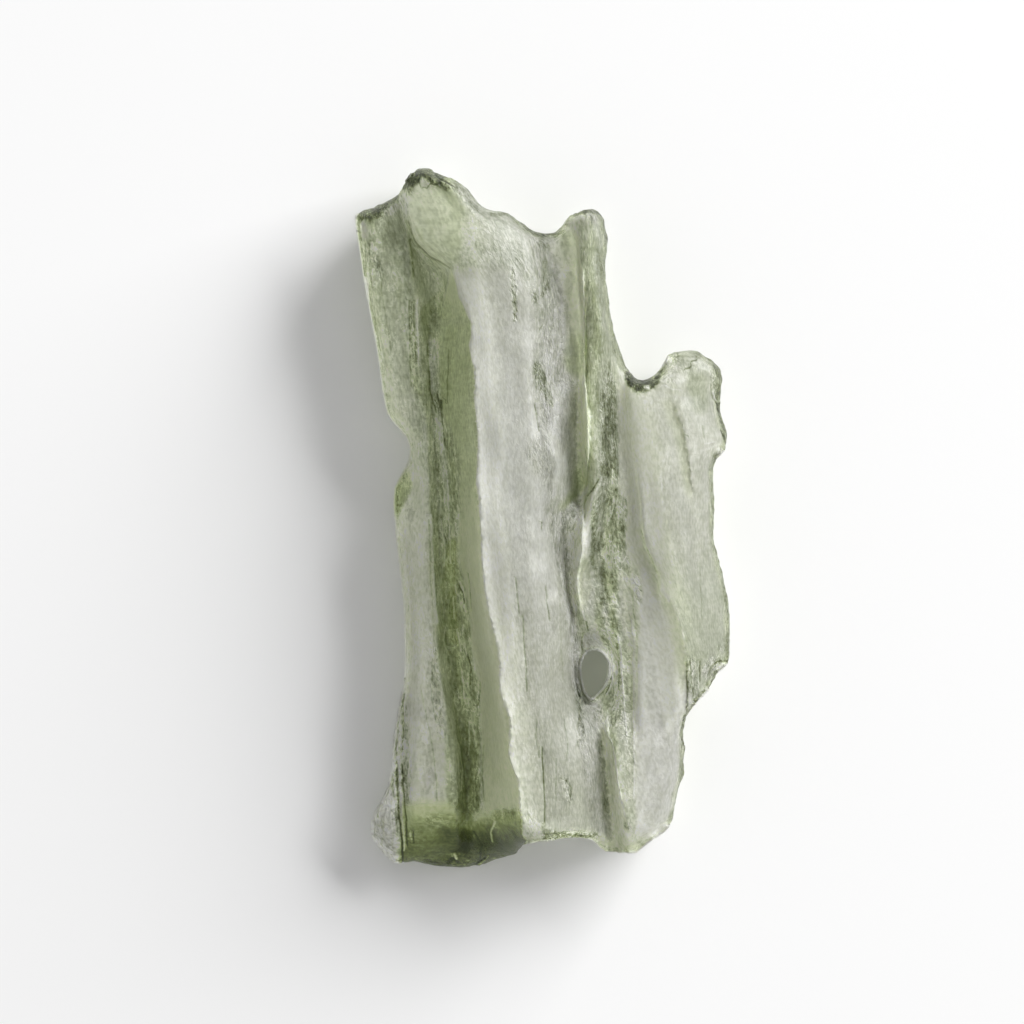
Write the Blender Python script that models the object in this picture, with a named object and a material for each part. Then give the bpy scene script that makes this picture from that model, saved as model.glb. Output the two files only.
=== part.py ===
# A moldavite: one thin, deeply fluted shard of green natural glass, lying on its back.
#
# Sizes and places are in millimetres until the mesh is made. X runs to the right and Y up the
# length of the stone, both from the middle of its outline. Z is the height over the surface that
# the stone lies on. Lists of places run from the top end down.

from collections import namedtuple

import bmesh
import bpy
import numpy as np
from mathutils import Vector, noise
from mathutils.geometry import delaunay_2d_cdt

NODE_NAME = "moldavite"
MM = 0.001

LENGTH = 32.0  # end to end, along Y
FRONT_SPACING = (0.36, 0.58)  # between mesh points, across and along the flow
BACK_SPACING = (0.62, 1.00)
RIM_SPACING = 0.48
RIM_RINGS = [(0.25, 0.10), (0.60, 0.16), (1.0, 0.24)]  # share of the rounded edge, least gap
COLUMN_TO_RIM = 0.17  # least gap between the rim's mesh points and the others
MIN_THICKNESS = 0.7
RIM_HEIGHT = 0.42  # where the edge lies, as a share of the thickness behind it

GLASS_COLOUR = (0.47, 0.55, 0.38, 1.0)
GLASS_ROUGHNESS = 0.34
GLASS_IOR = 1.49

# The outline, clockwise, in stretches. Each has the width over which its edge is rounded and then
# the places it passes, (x, y).
Stretch = namedtuple("Stretch", "name rounding places")
OUTLINE = [
    Stretch("broken top", 0.45, [
        (-8.55, 13.8), (-8.2, 14.1), (-7.55, 14.3), (-6.95, 14.55), (-6.6, 14.8), (-6.3, 15.15),
        (-6.1, 15.55), (-5.8, 15.85), (-5.4, 16), (-5, 15.9), (-4.65, 15.65), (-3.85, 15.35),
        (-3.35, 15), (-3.05, 14.55), (-2.7, 14.15), (-2.1, 14), (-1.55, 13.95), (-1.15, 13.6),
        (-0.6, 13.25), (-0.15, 13.05), (0.65, 13.1), (0.9, 13.45), (1.2, 13.85), (1.85, 14.05),
    ]),
    Stretch("edge of the second ridge", 0.7, [
        (2.35, 14.2), (2.7, 13.85), (2.9, 13.15), (2.95, 12.45), (2.85, 11.55), (3, 10.2),
        (3.2, 8.85), (3.5, 7.75), (3.85, 6.9), (4.15, 6.45), (4.5, 6.35), (5.05, 6.55),
    ]),
    Stretch("broken shoulder", 0.5, [
        (5.45, 7.1), (5.7, 7.55), (6.1, 7.7), (7.1, 7.7), (7.6, 7.35), (8.05, 7),
        (8.2, 6.25), (8.15, 5.45), (8.1, 4.65), (8.45, 4.1), (8.4, 3.25), (7.9, 2.7),
    ]),
    Stretch("thin right edge", 1.0, [
        (7.8, 2.1), (7.85, 0.9), (7.8, -0.55), (8, -1.7), (8.3, -2.65), (8.5, -4), (8.55, -5.05),
    ]),
    Stretch("broken corner", 0.45, [
        (8.55, -6.45), (7.95, -7), (7.65, -7.7), (7.1, -8.15), (6.6, -8.9),
    ]),
    Stretch("lower right edge", 0.8, [
        (6.45, -9.5), (6.5, -11.4), (6.2, -12.5), (6, -13.6), (5.45, -14.25), (4.75, -14.65),
    ]),
    Stretch("lower end", 0.5, [
        (4.35, -15.05), (3.5, -15.1), (2.6, -15), (2.35, -14.55), (1.55, -14.35), (0.3, -14.45),
        (-0.8, -14.65),
    ]),
    Stretch("foot", 0.8, [
        (-1.1, -15.25), (-1.95, -15.55), (-2.75, -15.85), (-3.75, -16), (-4.85, -15.9),
        (-5.95, -15.65), (-6.75, -15.75),
    ]),
    Stretch("bulb", 1.0, [
        (-7.4, -15.1), (-7.8, -14.5), (-7.8, -13.6), (-7.4, -12.75),
    ]),
    Stretch("left edge", 0.42, [
        (-6.95, -11.7), (-6.8, -9.9), (-6.55, -8.25), (-6.3, -7), (-6.35, -4.05), (-6.6, -1.8),
        (-6.8, 1.05), (-6.5, 1.95), (-6.1, 2.8), (-6.15, 3.65), (-6.65, 4.2), (-7.1, 4.8),
        (-7.35, 6.15), (-7.6, 7.95), (-8.05, 10.3), (-8.3, 11.9),
    ]),
]
HOLE_ROUNDING = 0.35
HOLE = [  # worn right through, (x, y)
    (1.8, -6.7), (1.95, -6.1), (2.25, -5.95), (2.65, -6), (2.95, -6.5), (2.9, -7.25),
    (2.5, -7.8), (2.15, -8.1), (1.9, -7.5),
]

# The front's flow lines run the length of the stone, from the left side to the right. Each has
# its path, (y, x), and its height on the way, (y, z). The surface turns sharply on a crisp line
# and smoothly on the others. Crisp and traced lines keep their mesh points where it is crowded.
FlowLine = namedtuple("FlowLine", "name turn path height")
FRONT_LINES = [
    FlowLine("left side", "soft",
        [(15.9, -8.75), (10, -8.65), (4.5, -7.55), (0.9, -7.2), (-8.2, -7.05), (-12.7, -7.85),
         (-15.9, -8.05)],
        [(16, 2.95), (10, 3.0), (1, 2.75), (-8, 2.85), (-12.5, 1.9), (-16, 1.2)]),
    FlowLine("plate", "soft",
        [(15, -7.5), (11.8, -7.3), (10, -7), (7.9, -6.7), (5.5, -6.35), (3.2, -5.85),
         (-1.8, -5.8), (-7.2, -5.75), (-12.7, -5.85), (-15.4, -5.95)],
        [(15, 3.1), (12, 3.1), (8.5, 3.05), (5.5, 2.95), (1, 2.85), (-3.5, 3.0), (-8, 3.15),
         (-12.5, 3.0), (-15.5, 2.4)]),
    FlowLine("plate lip", "crisp",
        [(15.2, -7.1), (14.3, -6.8), (13.4, -6.5), (12.7, -6.25), (11.8, -6), (10, -5.7),
         (8.2, -5.6), (6.4, -5.5), (4.5, -5.25), (0.9, -5.15), (-1.8, -5.05), (-4.5, -4.85),
         (-7.2, -4.75), (-9.1, -4.25), (-10.9, -3.95), (-12.7, -3.8), (-15.4, -4)],
        [(15, 3.3), (12, 3.2), (8, 3.1), (5.5, 3.0), (1, 3.0), (-3.5, 3.2), (-8, 3.3),
         (-12, 3.2), (-15.5, 3.0)]),
    FlowLine("groove", "traced",
        [(15.2, -6.85), (14.3, -6.6), (13.4, -6.4), (12.7, -6.1), (11.7, -5.6), (10.7, -5.4),
         (9.5, -5.3), (7.9, -5.25), (5.5, -5.1), (3.2, -4.9), (0.9, -4.8), (-1.8, -4.7),
         (-5.4, -4.45), (-9.1, -3.85), (-10.9, -3.55), (-12.7, -3.45), (-15.4, -3.6)],
        [(15, 3.2), (12.5, 3.0), (11.5, 2.6), (9.5, 2.5), (5.5, 2.4), (1, 2.2), (-3.5, 2.1),
         (-8, 2.1), (-12, 2.2), (-15.5, 2.3)]),
    FlowLine("wall foot", "traced",
        [(15.2, -6.65), (14.3, -6.5), (13.7, -6.35), (12.7, -5.95), (12.1, -5.4), (11.7, -4.85),
         (11.4, -4.5), (10, -4.45), (8.6, -4.65), (7.9, -4.65), (5.5, -4.55), (3.2, -4.1),
         (0.9, -3.75), (-1.8, -3.6), (-5.4, -3.15), (-9.1, -2.8), (-10.9, -2.8), (-12.7, -2.95),
         (-15.4, -3.05)],
        [(15, 3.4), (12.5, 3.2), (11.5, 2.6), (9.5, 2.5), (5.5, 2.8), (1, 2.8), (-3.5, 2.7),
         (-8, 2.6), (-12, 2.6), (-15.5, 2.6)]),
    FlowLine("central lip", "crisp",
        [(15.2, -6.45), (14.5, -6.3), (13.7, -6.1), (13.3, -5.95), (12.7, -5.7), (12.1, -5.15),
         (11.7, -4.65), (11.4, -4.2), (10.7, -3.9), (9.9, -3.65), (9.2, -3.35), (8.4, -3.25),
         (5.9, -3.15), (4.1, -3), (1.8, -3), (-0.9, -2.85), (-3.6, -2.6), (-6.6, -2.05),
         (-8.2, -1.85), (-9.1, -1.6), (-10.6, -1.5), (-11.7, -1.2), (-14.7, -0.9)],
        [(15, 4.0), (13.5, 4.3), (11.5, 4.5), (10, 4.9), (5.5, 5.25), (1, 5.4), (-3.5, 5.4),
         (-8, 5.3), (-12, 5.0), (-15.5, 4.6)]),
    FlowLine("crest", "soft",
        [(15.2, -4.65), (13.2, -3.1), (10, -2.4), (5.5, -2.1), (0.9, -1.8), (-3.6, -1.4),
         (-8.2, -0.6), (-12.7, 0), (-15.4, 0.2)],
        [(16, 4.5), (13, 5.0), (10, 5.3), (5.5, 5.5), (1, 5.6), (-3.5, 5.6), (-8, 5.45),
         (-12, 5.2), (-15.5, 4.6)]),
    FlowLine("pale edge", "soft",
        [(14, -1.8), (12.3, -0.9), (10, -0.45), (7.3, -0.35), (5.5, -0.15), (4.1, 0.1),
         (2.5, 0.6), (1.4, 0.6), (0, 0.2), (-1.1, 0.2), (-2.7, 0.7), (-4.5, 0.95), (-8.2, 1.05),
         (-10.9, 1.2), (-15.4, 1.5)],
        [(14, 4.2), (12.5, 4.5), (10, 4.6), (5.5, 4.6), (3, 4.4), (1, 4.3), (-1, 4.5),
         (-3.5, 4.4), (-6, 3.9), (-7.5, 3.6), (-10, 4.0), (-12, 4.2), (-15.5, 3.9)]),
    FlowLine("valley", "soft",
        [(14, -0.25), (12.3, 0.25), (10, 0.75), (7.3, 0.85), (4.5, 1.1), (2.7, 1.3), (0.9, 1.25),
         (-0.9, 1.05), (-2.7, 1.2), (-4.5, 1.45), (-7.2, 1.85), (-9.1, 2.1), (-10.9, 2.4),
         (-15.4, 2.65)],
        [(14, 3.6), (12.5, 3.3), (10, 3.2), (5.5, 3.1), (2.5, 2.8), (1.5, 2.7), (-1, 3.1),
         (-3.5, 3.1), (-6, 2.8), (-7.5, 2.7), (-10, 3.2), (-12.5, 3.4), (-15.5, 3.2)]),
    FlowLine("second foot", "traced",
        [(14, 1.15), (12.7, 1.35), (10.9, 1.6), (8.6, 1.7), (7.3, 1.7), (5.5, 1.65), (3.6, 1.75),
         (1.8, 1.95), (0.9, 1.9), (-0.4, 1.6), (-1.8, 1.6), (-3.2, 1.35), (-4.5, 1.65),
         (-5.9, 2.05), (-8.2, 2.6), (-10, 2.75), (-12.7, 3.1), (-15.4, 3.3)],
        [(14, 3.6), (12.5, 3.3), (9, 2.9), (5.5, 2.7), (2.5, 2.5), (1.5, 2.4), (0, 2.9),
         (-2, 3.1), (-3.5, 3.1), (-6, 2.8), (-7.5, 2.7), (-10, 2.9), (-15.5, 2.9)]),
    FlowLine("second lip", "crisp",
        [(14, 1.4), (12.7, 1.65), (10.9, 1.85), (7.9, 2.05), (5.5, 1.9), (3.6, 2.05),
         (1.8, 2.25), (1.1, 2.2), (0, 1.95), (-1.1, 1.9), (-2.7, 1.6), (-3.6, 1.75), (-4.8, 2),
         (-5.9, 2.45), (-8.2, 3), (-10, 3.15), (-10.9, 3.3), (-12.7, 3.55), (-15.4, 3.85)],
        [(14, 4.0), (12, 4.1), (5.5, 4.0), (1.5, 4.1), (0, 3.7), (-2, 3.7), (-3.5, 3.6),
         (-6, 3.1), (-8, 3.0), (-10, 3.7), (-12, 3.9), (-15.5, 3.6)]),
    FlowLine("second crest", "soft",
        [(14, 2.15), (11.8, 2.35), (10, 2.55), (5.5, 2.65), (1.8, 2.75), (-0.9, 2.8),
         (-3.6, 2.9), (-5.4, 3.2), (-8.2, 3.6), (-10.9, 3.95), (-15.4, 4.3)],
        [(14, 4.3), (10, 4.3), (5.5, 4.2), (2.5, 4.1), (0.5, 3.5), (-2, 3.3), (-4.5, 3.3),
         (-6.5, 3.2), (-8, 3.3), (-11, 3.9), (-15.5, 3.6)]),
    FlowLine("third foot", "traced",
        [(9.1, 3.05), (6.4, 3.5), (4.5, 3.65), (2.7, 3.9), (0.9, 4.05), (-0.4, 4.15),
         (-1.3, 4.45), (-2.5, 4.95), (-3.6, 5.2), (-4.5, 5.6), (-6.6, 6.25), (-15.4, 6.65)],
        [(9, 3.8), (6.5, 3.7), (2.5, 3.65), (0, 3.55), (-3.5, 3.7), (-6.5, 3.7), (-15.5, 3.4)]),
    FlowLine("third lip", "crisp",
        [(9.1, 3.35), (6.4, 3.8), (4.5, 4.05), (2.7, 4.25), (0.9, 4.4), (-0.4, 4.55),
         (-1.3, 4.8), (-2.5, 5.35), (-3.6, 5.6), (-4.5, 6.05), (-6.6, 6.65), (-15.4, 7.1)],
        [(9, 3.9), (4.5, 4.1), (1, 4.05), (-2, 4.0), (-4.5, 4.0), (-6.5, 3.85), (-11, 3.4),
         (-15.5, 3.2)]),
    FlowLine("slab", "soft",
        [(7.7, 5.1), (3.2, 5.4), (0, 5.65), (-3.6, 6.4), (-6.6, 7.3), (-15.4, 7.65)],
        [(7.5, 4.1), (3, 4.4), (0, 4.3), (-2.5, 4.2), (-5.5, 3.8), (-8, 3.3), (-15.5, 2.6)]),
    FlowLine("right side", "soft",
        [(7.7, 7.85), (3.6, 8.4), (0.9, 7.95), (-1.8, 8.1), (-4.5, 8.65), (-7.2, 8.5),
         (-15.4, 8.5)],
        [(7.5, 3.2), (3.5, 2.8), (1, 3.0), (-2, 2.8), (-4.5, 2.4), (-7, 2.1), (-15.5, 1.8)]),
]

# The underside's flow lines. Where one passes under zero the stone is worn flat and rests.
BACK_LINES = [
    FlowLine("left side", "soft", [(16, -9), (-16, -8)], [(16, 1.1), (0, 0.9), (-16, 0.6)]),
    FlowLine("left keel", "soft", [(16, -6.4), (6, -5.2), (-16, -4.6)],
        [(16, 0.5), (12, -0.14), (7, -0.10), (2, 0.25), (-5, 0.10), (-12, -0.16), (-16, 0.6)]),
    FlowLine("flute, left", "soft", [(16, -5), (4, -3.9), (-16, -3.3)],
        [(16, 0.7), (8, 0.75), (-3, 0.65), (-16, 0.5)]),
    FlowLine("rib, middle", "soft", [(16, -3.6), (4, -2.5), (-16, -2)],
        [(16, 0.4), (10, 0.45), (4, 0.30), (-2, -0.10), (-6, 0.25), (-16, 0.5)]),
    FlowLine("hollow", "soft", [(16, -1.6), (0, -0.4), (-16, 0.4)],
        [(16, 0.7), (8, 1.0), (0, 1.1), (-8, 0.9), (-16, 0.6)]),
    FlowLine("right rib", "soft", [(16, 0.4), (8, 1.3), (0, 1.8), (-16, 2.4)],
        [(14, 0.5), (11, -0.14), (7, 0.10), (0, 0.55), (-6, 0.7), (-16, 0.5)]),
    FlowLine("flute, right", "soft", [(16, 2), (8, 2.8), (0, 3.2), (-16, 3.8)],
        [(14, 0.6), (8, 0.6), (0, 0.8), (-6, 0.7), (-16, 0.5)]),
    FlowLine("right keel", "soft", [(16, 3), (8, 4.1), (0, 4.7), (-16, 5.2)],
        [(14, 0.6), (5, 0.2), (0, -0.14), (-5, 0.05), (-9, -0.16), (-13, -0.05), (-16, 0.5)]),
    FlowLine("right side", "soft", [(16, 5.5), (8, 7.2), (0, 8.2), (-16, 8.2)],
        [(16, 0.7), (0, 1.1), (-6, 1.2), (-16, 0.8)]),
]

# Small forms laid over the flow lines. A hollow's depth is at its middle, and a negative depth
# is a lump. A furrow follows a path, (y, x), and fades out at both ends. A ledge is a step down
# to the left of its path.
Hollow = namedtuple("Hollow", "name x y radius_x radius_y lean depth")
FRONT_HOLLOWS = [
    Hollow("broken facet of the top", -4.4, 13.4, 1.7, 2.3, 35, 0.40),
    Hollow("pocket below the facet", -5.0, 9.9, 0.75, 1.6, -10, 0.40),
    Hollow("knob at the tip", -5.4, 15.3, 0.8, 0.7, 0, -0.30),
    Hollow("left top corner", -7.6, 13.4, 0.9, 0.9, 0, -0.25),
    Hollow("knob of the second ridge", 2.0, 13.7, 1.0, 0.8, 0, -0.25),
    Hollow("facet left of that knob", 1.0, 13.2, 0.6, 0.7, 0, 0.25),
    Hollow("dent in the crest, upper", -0.9, 8.6, 0.8, 1.4, 5, 0.16),
    Hollow("swell of the pale edge", 0.3, 3.2, 0.9, 1.3, 10, -0.22),
    Hollow("dent in the crest, lower", -0.2, -11.2, 1.0, 2.0, 5, 0.18),
    Hollow("dent in the valley, upper", 0.9, 6.4, 0.8, 1.1, 10, 0.25),
    Hollow("olive pocket", 1.55, 1.5, 0.75, 1.3, -20, 0.45),
    Hollow("rough hollow under the pocket", 0.95, -1.4, 0.8, 2.0, 5, 0.30),
    Hollow("rough hollow right of the rib", 2.75, -1.5, 0.7, 2.4, 5, 0.20),
    Hollow("notch in the left edge", -6.3, 1.2, 0.7, 1.1, -15, 0.45),
    Hollow("scoop above the hole", 2.2, -5.2, 0.7, 1.0, 0, 0.40),
    Hollow("funnel of the hole", 2.35, -7.0, 1.7, 2.3, 0, 0.75),
    Hollow("broken shoulder facet", 5.7, 7.0, 0.9, 0.9, 20, 0.35),
    Hollow("second shoulder facet", 7.1, 7.2, 0.8, 0.8, 0, 0.20),
    Hollow("dip of the right rim", 8.1, 5.2, 0.8, 1.5, 0, 0.55),
    Hollow("broken corner", 7.6, -7.4, 1.3, 1.3, -40, 0.80),
    Hollow("lump of the foot, left", -5.2, -14.9, 1.3, 0.8, 0, -0.30),
    Hollow("lump of the foot, middle", -3.0, -15.1, 0.9, 0.8, 0, -0.35),
    Hollow("lump of the foot, right", -1.6, -14.8, 0.8, 0.8, 0, -0.35),
    Hollow("cleft in the foot", -3.8, -14.5, 0.4, 1.0, 15, 0.30),
    Hollow("bulb", -7.2, -14.0, 0.9, 1.6, 10, -0.35),
]
BACK_HOLLOWS = [
    Hollow("funnel of the hole", 2.35, -7.0, 1.6, 2.2, 0, -1.00),
    Hollow("scoop under the shoulder", 6.8, 4.9, 2.2, 2.8, 15, -0.45),
    Hollow("scoop under the top", -2.4, 12.8, 2.0, 2.4, -15, -0.35),
    Hollow("scoop under the left edge", -6.6, 2.6, 1.2, 2.6, 0, -0.50),
    Hollow("scoop under the middle", -0.8, -2.5, 1.2, 3.4, 10, -0.25),
    Hollow("scoop under the lower end", 0.8, -13.6, 1.4, 1.8, 0, -0.40),
    Hollow("scoop under the corner", 7.4, -6.6, 1.6, 2.0, 0, -0.30),
    Hollow("worn pad, upper left", -5.7, 10.2, 2.2, 4.8, 5, 0.45),
    Hollow("worn pad, lower left", -4.8, -10.8, 2.2, 4.6, 0, 0.50),
    Hollow("worn pad, right", 5.0, -0.2, 2.2, 4.8, 5, 0.55),
    Hollow("worn pad, lower right", 5.0, -10.4, 2.0, 4.2, 0, 0.50),
]
Furrow = namedtuple("Furrow", "name path half_width depth")
FRONT_FURROWS = [
    Furrow("left plate flute", [(12.5, -6.9), (8, -6.3), (3, -5.6), (-1, -5.6)], 0.50, 0.14),
    Furrow("left ridge furrow", [(-7.5, -5.9), (-11.5, -6.3), (-15.4, -6.4)], 0.42, 0.40),
    Furrow("second ridge streak", [(8.5, 2.8), (4, 3.05), (1.8, 2.9), (-2.0, 3.0)], 0.40, 0.24),
    Furrow("green stripe", [(-1.7, 3.6), (-5.4, 3.85), (-8.2, 3.95), (-11, 4.0)], 0.40, 0.24),
    Furrow("valley streak", [(13, 0.1), (9, 0.1), (5.5, 0.0), (2.9, -0.1)], 0.45, 0.16),
    Furrow("crest flute", [(12.5, -1.5), (7, -1.2), (1, -1.1), (-6, -0.8), (-12, 0.3)], 0.55, 0.10),
    Furrow("right slab flute", [(5.5, 6.2), (0, 6.8), (-5, 7.4)], 0.50, 0.14),
    Furrow("lower slab flute", [(-3.5, 5.2), (-9, 5.4), (-14, 5.0)], 0.60, 0.14),
]
Ledge = namedtuple("Ledge", "name path run rise")
FRONT_LEDGES = [
    Ledge("fourth lip", [(6.6, 5.9), (4.6, 6.35), (2.4, 6.5), (0.2, 6.75)], 1.1, 0.20),
    Ledge("small lip left of the hole", [(-8.9, 2.95), (-11.5, 3.3), (-14.2, 3.7)], 0.8, 0.22),
]
LEDGE_STEEP = 0.40  # width of the steep part

# Ground where the glass is uneven: how far it rises and falls, and the size of the bumps.
Patch = namedtuple("Patch", "name x y radius_x radius_y lean height grain")
FRONT_PATCHES = [
    Patch("fibrous groove, upper", -4.9, 6.0, 1.0, 5.0, 5, 0.10, 0.6),
    Patch("fibrous groove, lower", -3.9, -6.0, 1.2, 8.0, 7, 0.12, 0.6),
    Patch("mottled valley", 0.8, 7.5, 1.2, 6.0, 5, 0.16, 1.0),
    Patch("mottled ground under the pocket", 1.2, -1.3, 1.2, 3.2, 0, 0.20, 0.8),
    Patch("mottled ground right of the rib", 2.9, -1.5, 1.0, 3.2, 0, 0.14, 0.8),
    Patch("foot", -3.2, -14.8, 3.2, 1.5, 0, 0.30, 0.9),
    Patch("broken corner", 7.5, -7.4, 1.6, 1.6, 0, 0.30, 0.8),
    Patch("broken top", -5.2, 15.0, 2.8, 1.4, -20, 0.18, 0.8),
    Patch("broken shoulder", 6.9, 6.6, 1.8, 1.5, 0, 0.18, 0.8),
]
FRONT_SWELL, BACK_SWELL = 0.11, 0.12  # of the long, low waves all over
SWELL_ACROSS, SWELL_ALONG = 1.3, 3.4
FLOW_LEAN = 0.11  # how far the flow moves sideways per length
FORM_STRAY = 0.38  # how far the edges of hollows and patches stray from an oval
FORM_GRAIN = 2.0

LINE_WANDER = 0.10  # how far a flow line strays from its path
LEAST_GAP = 0.20  # between neighbouring flow lines

# The foot's end facet slopes down from this line, (x, y), and ends at the lower end's notch.
FOOT_TOP = [(-8.2, -12.9), (-6.4, -13.7), (-5, -13.3), (-3.3, -13.1), (-1.6, -13.5), (-0.6, -14.4)]
FOOT_RIGHT, FOOT_SIDE = -0.7, 0.5  # where the facet stops on its right, and over what width
FOOT_END_HEIGHT = 1.2
FOOT_FALL = 0.92  # share of its height that the surface has lost at the end


def smooth_step(t):
    t = np.clip(t, 0.0, 1.0)
    return t * t * (3.0 - 2.0 * t)


def even_slopes(places, values):
    """Slopes of a curve through the values that never overshoots them."""
    step = np.diff(places, axis=0)
    rise = np.diff(values, axis=0) / step
    slopes = np.zeros_like(values)
    same_way = rise[:-1] * rise[1:] > 0.0
    left, right = 2.0 * step[1:] + step[:-1], step[1:] + 2.0 * step[:-1]
    with np.errstate(divide="ignore", invalid="ignore"):
        mean = (left + right) / (left / rise[:-1] + right / rise[1:])
    slopes[1:-1] = np.where(same_way, mean, 0.0)
    slopes[0], slopes[-1] = rise[0], rise[-1]
    return slopes, rise


def between(start, end, value_0, value_1, slope_0, slope_1, at):
    """The cubic from one place to the next with the given values and slopes."""
    span = end - start
    t = np.clip((at - start) / span, 0.0, 1.0)
    return (value_0 * (1.0 + 2.0 * t) * (1.0 - t) ** 2 + value_1 * t * t * (3.0 - 2.0 * t)
            + span * slope_0 * t * (1.0 - t) ** 2 - span * slope_1 * t * t * (1.0 - t))


def along(pairs, y):
    """A smooth curve through (y, value) pairs, level beyond both ends."""
    ordered = np.array(sorted(pairs), dtype=float)
    places, values = ordered[:, 0], ordered[:, 1]
    slopes, _ = even_slopes(places, values)
    i = np.clip(np.searchsorted(places, y) - 1, 0, len(places) - 2)
    y = np.clip(y, places[0], places[-1])
    return between(places[i], places[i + 1], values[i], values[i + 1], slopes[i], slopes[i + 1], y)


def bumps(x, y, grain_x, grain_y, key):
    """Smooth uneven ground between about -1 and 1, the same on every run."""
    return np.array([noise.noise((u, v, key)) * 1.6 for u, v in zip(x / grain_x, y / grain_y)])


def places_of(lines, y):
    """Where each line passes at y, straying a little from side to side as it goes. The lines of
    one ridge stray together, and none comes too near the one on its left."""
    places = []
    for line in lines:
        key = sum(ord(letter) for letter in line.name.split()[0]) % 17
        aside = np.full(len(y), 3.3 * key)
        stray = bumps(aside, y, 1.0, 2.6, 0.5) + 0.5 * bumps(aside, y, 1.0, 0.9, 5.5)
        place = along(line.path, y) + LINE_WANDER * stray
        places.append(np.maximum(place, places[-1] + LEAST_GAP) if places else place)
    return np.array(places)


def across(lines, x, y):
    """Height of the surface that the flow lines span, at each (x, y)."""
    places = places_of(lines, y)
    heights = np.array([along(line.height, y) for line in lines])
    slopes, rise = even_slopes(places, heights)
    before, after = slopes.copy(), slopes.copy()
    for k, line in enumerate(lines):
        if line.turn == "crisp":
            before[k], after[k] = rise[k - 1], rise[k]
    surface = np.where(x < places[0], heights[0], heights[-1])
    for k in range(len(lines) - 1):
        inside = (x >= places[k]) & (x <= places[k + 1])
        piece = between(places[k], places[k + 1], heights[k], heights[k + 1],
                        after[k], before[k + 1], x)
        surface = np.where(inside, piece, surface)
    return surface


def swell(x, y, key):
    """Low waves drawn out along the flow, which leans to the right on its way down."""
    return bumps(x + FLOW_LEAN * y, y, SWELL_ACROSS, SWELL_ALONG, key)


def strayed(x, y):
    """Places moved about a little, so that no form laid out on them is a plain oval."""
    return (x + FORM_STRAY * bumps(x, y, FORM_GRAIN, FORM_GRAIN, 21.5),
            y + FORM_STRAY * bumps(x, y, FORM_GRAIN, FORM_GRAIN, 31.5))


def oval(form, x, y):
    """1 at the middle of a hollow or a patch, 0 from its radii outwards."""
    lean = np.radians(form.lean)
    dx, dy = x - form.x, y - form.y
    u = (dx * np.cos(lean) + dy * np.sin(lean)) / form.radius_x
    v = (dy * np.cos(lean) - dx * np.sin(lean)) / form.radius_y
    return np.clip(1.0 - u * u - v * v, 0.0, None)


def hollow_depth(hollow, x, y):
    return hollow.depth * oval(hollow, x, y) ** 1.5


def patch_rise(patch, x, y):
    ground = bumps(x, y, patch.grain, patch.grain * 1.6, 3.0 + patch.x)
    return patch.height * ground * smooth_step(1.8 * oval(patch, x, y))


def end_fade(path, y):
    top, bottom = path[0][0], path[-1][0]
    reach = 0.25 * (top - bottom)
    return smooth_step((top - y) / reach) * smooth_step((y - bottom) / reach)


def furrow_depth(furrow, x, y):
    off = (x - along(furrow.path, y)) / furrow.half_width
    return furrow.depth * np.clip(1.0 - off * off, 0.0, None) ** 1.5 * end_fade(furrow.path, y)


def ledge_drop(ledge, x, y):
    """A short steep drop on the left of the path that runs out gently."""
    off = along(ledge.path, y) - x
    run_out = smooth_step((off - LEDGE_STEEP) / ledge.run)
    return ledge.rise * smooth_step(off / LEDGE_STEEP) * (1.0 - run_out) * end_fade(ledge.path, y)


def foot_slope(x, y):
    """Share of its height that the surface keeps on the foot's end facet."""
    top = along([(px, py) for px, py in FOOT_TOP], x)
    down = np.clip((top - y) / (top + LENGTH / 2.0), 0.0, 1.0)
    return 1.0 - FOOT_FALL * down**0.9 * smooth_step((FOOT_RIGHT - x) / FOOT_SIDE)


def front_height(x, y):
    z = across(FRONT_LINES, x, y)
    for furrow in FRONT_FURROWS:
        z = z - furrow_depth(furrow, x, y)
    for ledge in FRONT_LEDGES:
        z = z - ledge_drop(ledge, x, y)
    z = z + FRONT_SWELL * swell(x, y, 0.5)
    z = FOOT_END_HEIGHT + (z - FOOT_END_HEIGHT) * foot_slope(x, y)
    form_x, form_y = strayed(x, y)
    for hollow in FRONT_HOLLOWS:
        z = z - hollow_depth(hollow, form_x, form_y)
    for patch in FRONT_PATCHES:
        z = z + patch_rise(patch, form_x, form_y)
    return z


def back_height(x, y):
    z = across(BACK_LINES, x, y)
    z = z + BACK_SWELL * swell(x, y, 7.5) * np.clip(z, 0.0, 1.0)
    form_x, form_y = strayed(x, y)
    for hollow in BACK_HOLLOWS:
        z = z - hollow_depth(hollow, form_x, form_y)
    return np.maximum(z, 0.0)


def closed_curve(places, spacing):
    """Points at an even spacing on the smooth closed curve through the places."""
    places = np.array(places, dtype=float)
    before, after, after_next = (np.roll(places, s, axis=0) for s in (1, -1, -2))
    fine = []
    for t in np.linspace(0.0, 1.0, 12, endpoint=False):
        fine.append(0.5 * (2.0 * places + (after - before) * t
                           + (2.0 * before - 5.0 * places + 4.0 * after - after_next) * t**2
                           + (3.0 * places - before - 3.0 * after + after_next) * t**3))
    fine = np.stack(fine, axis=1).reshape(-1, 2)
    ends = np.vstack([fine, fine[:1]])
    run = np.concatenate([[0.0], np.cumsum(np.linalg.norm(np.diff(ends, axis=0), axis=1))])
    count = round(run[-1] / spacing)
    marks = np.linspace(0.0, run[-1], count, endpoint=False)
    curve = np.stack([np.interp(marks, run, ends[:, 0]), np.interp(marks, run, ends[:, 1])], axis=1)
    return curve, marks / run[-1] * len(places)


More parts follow.
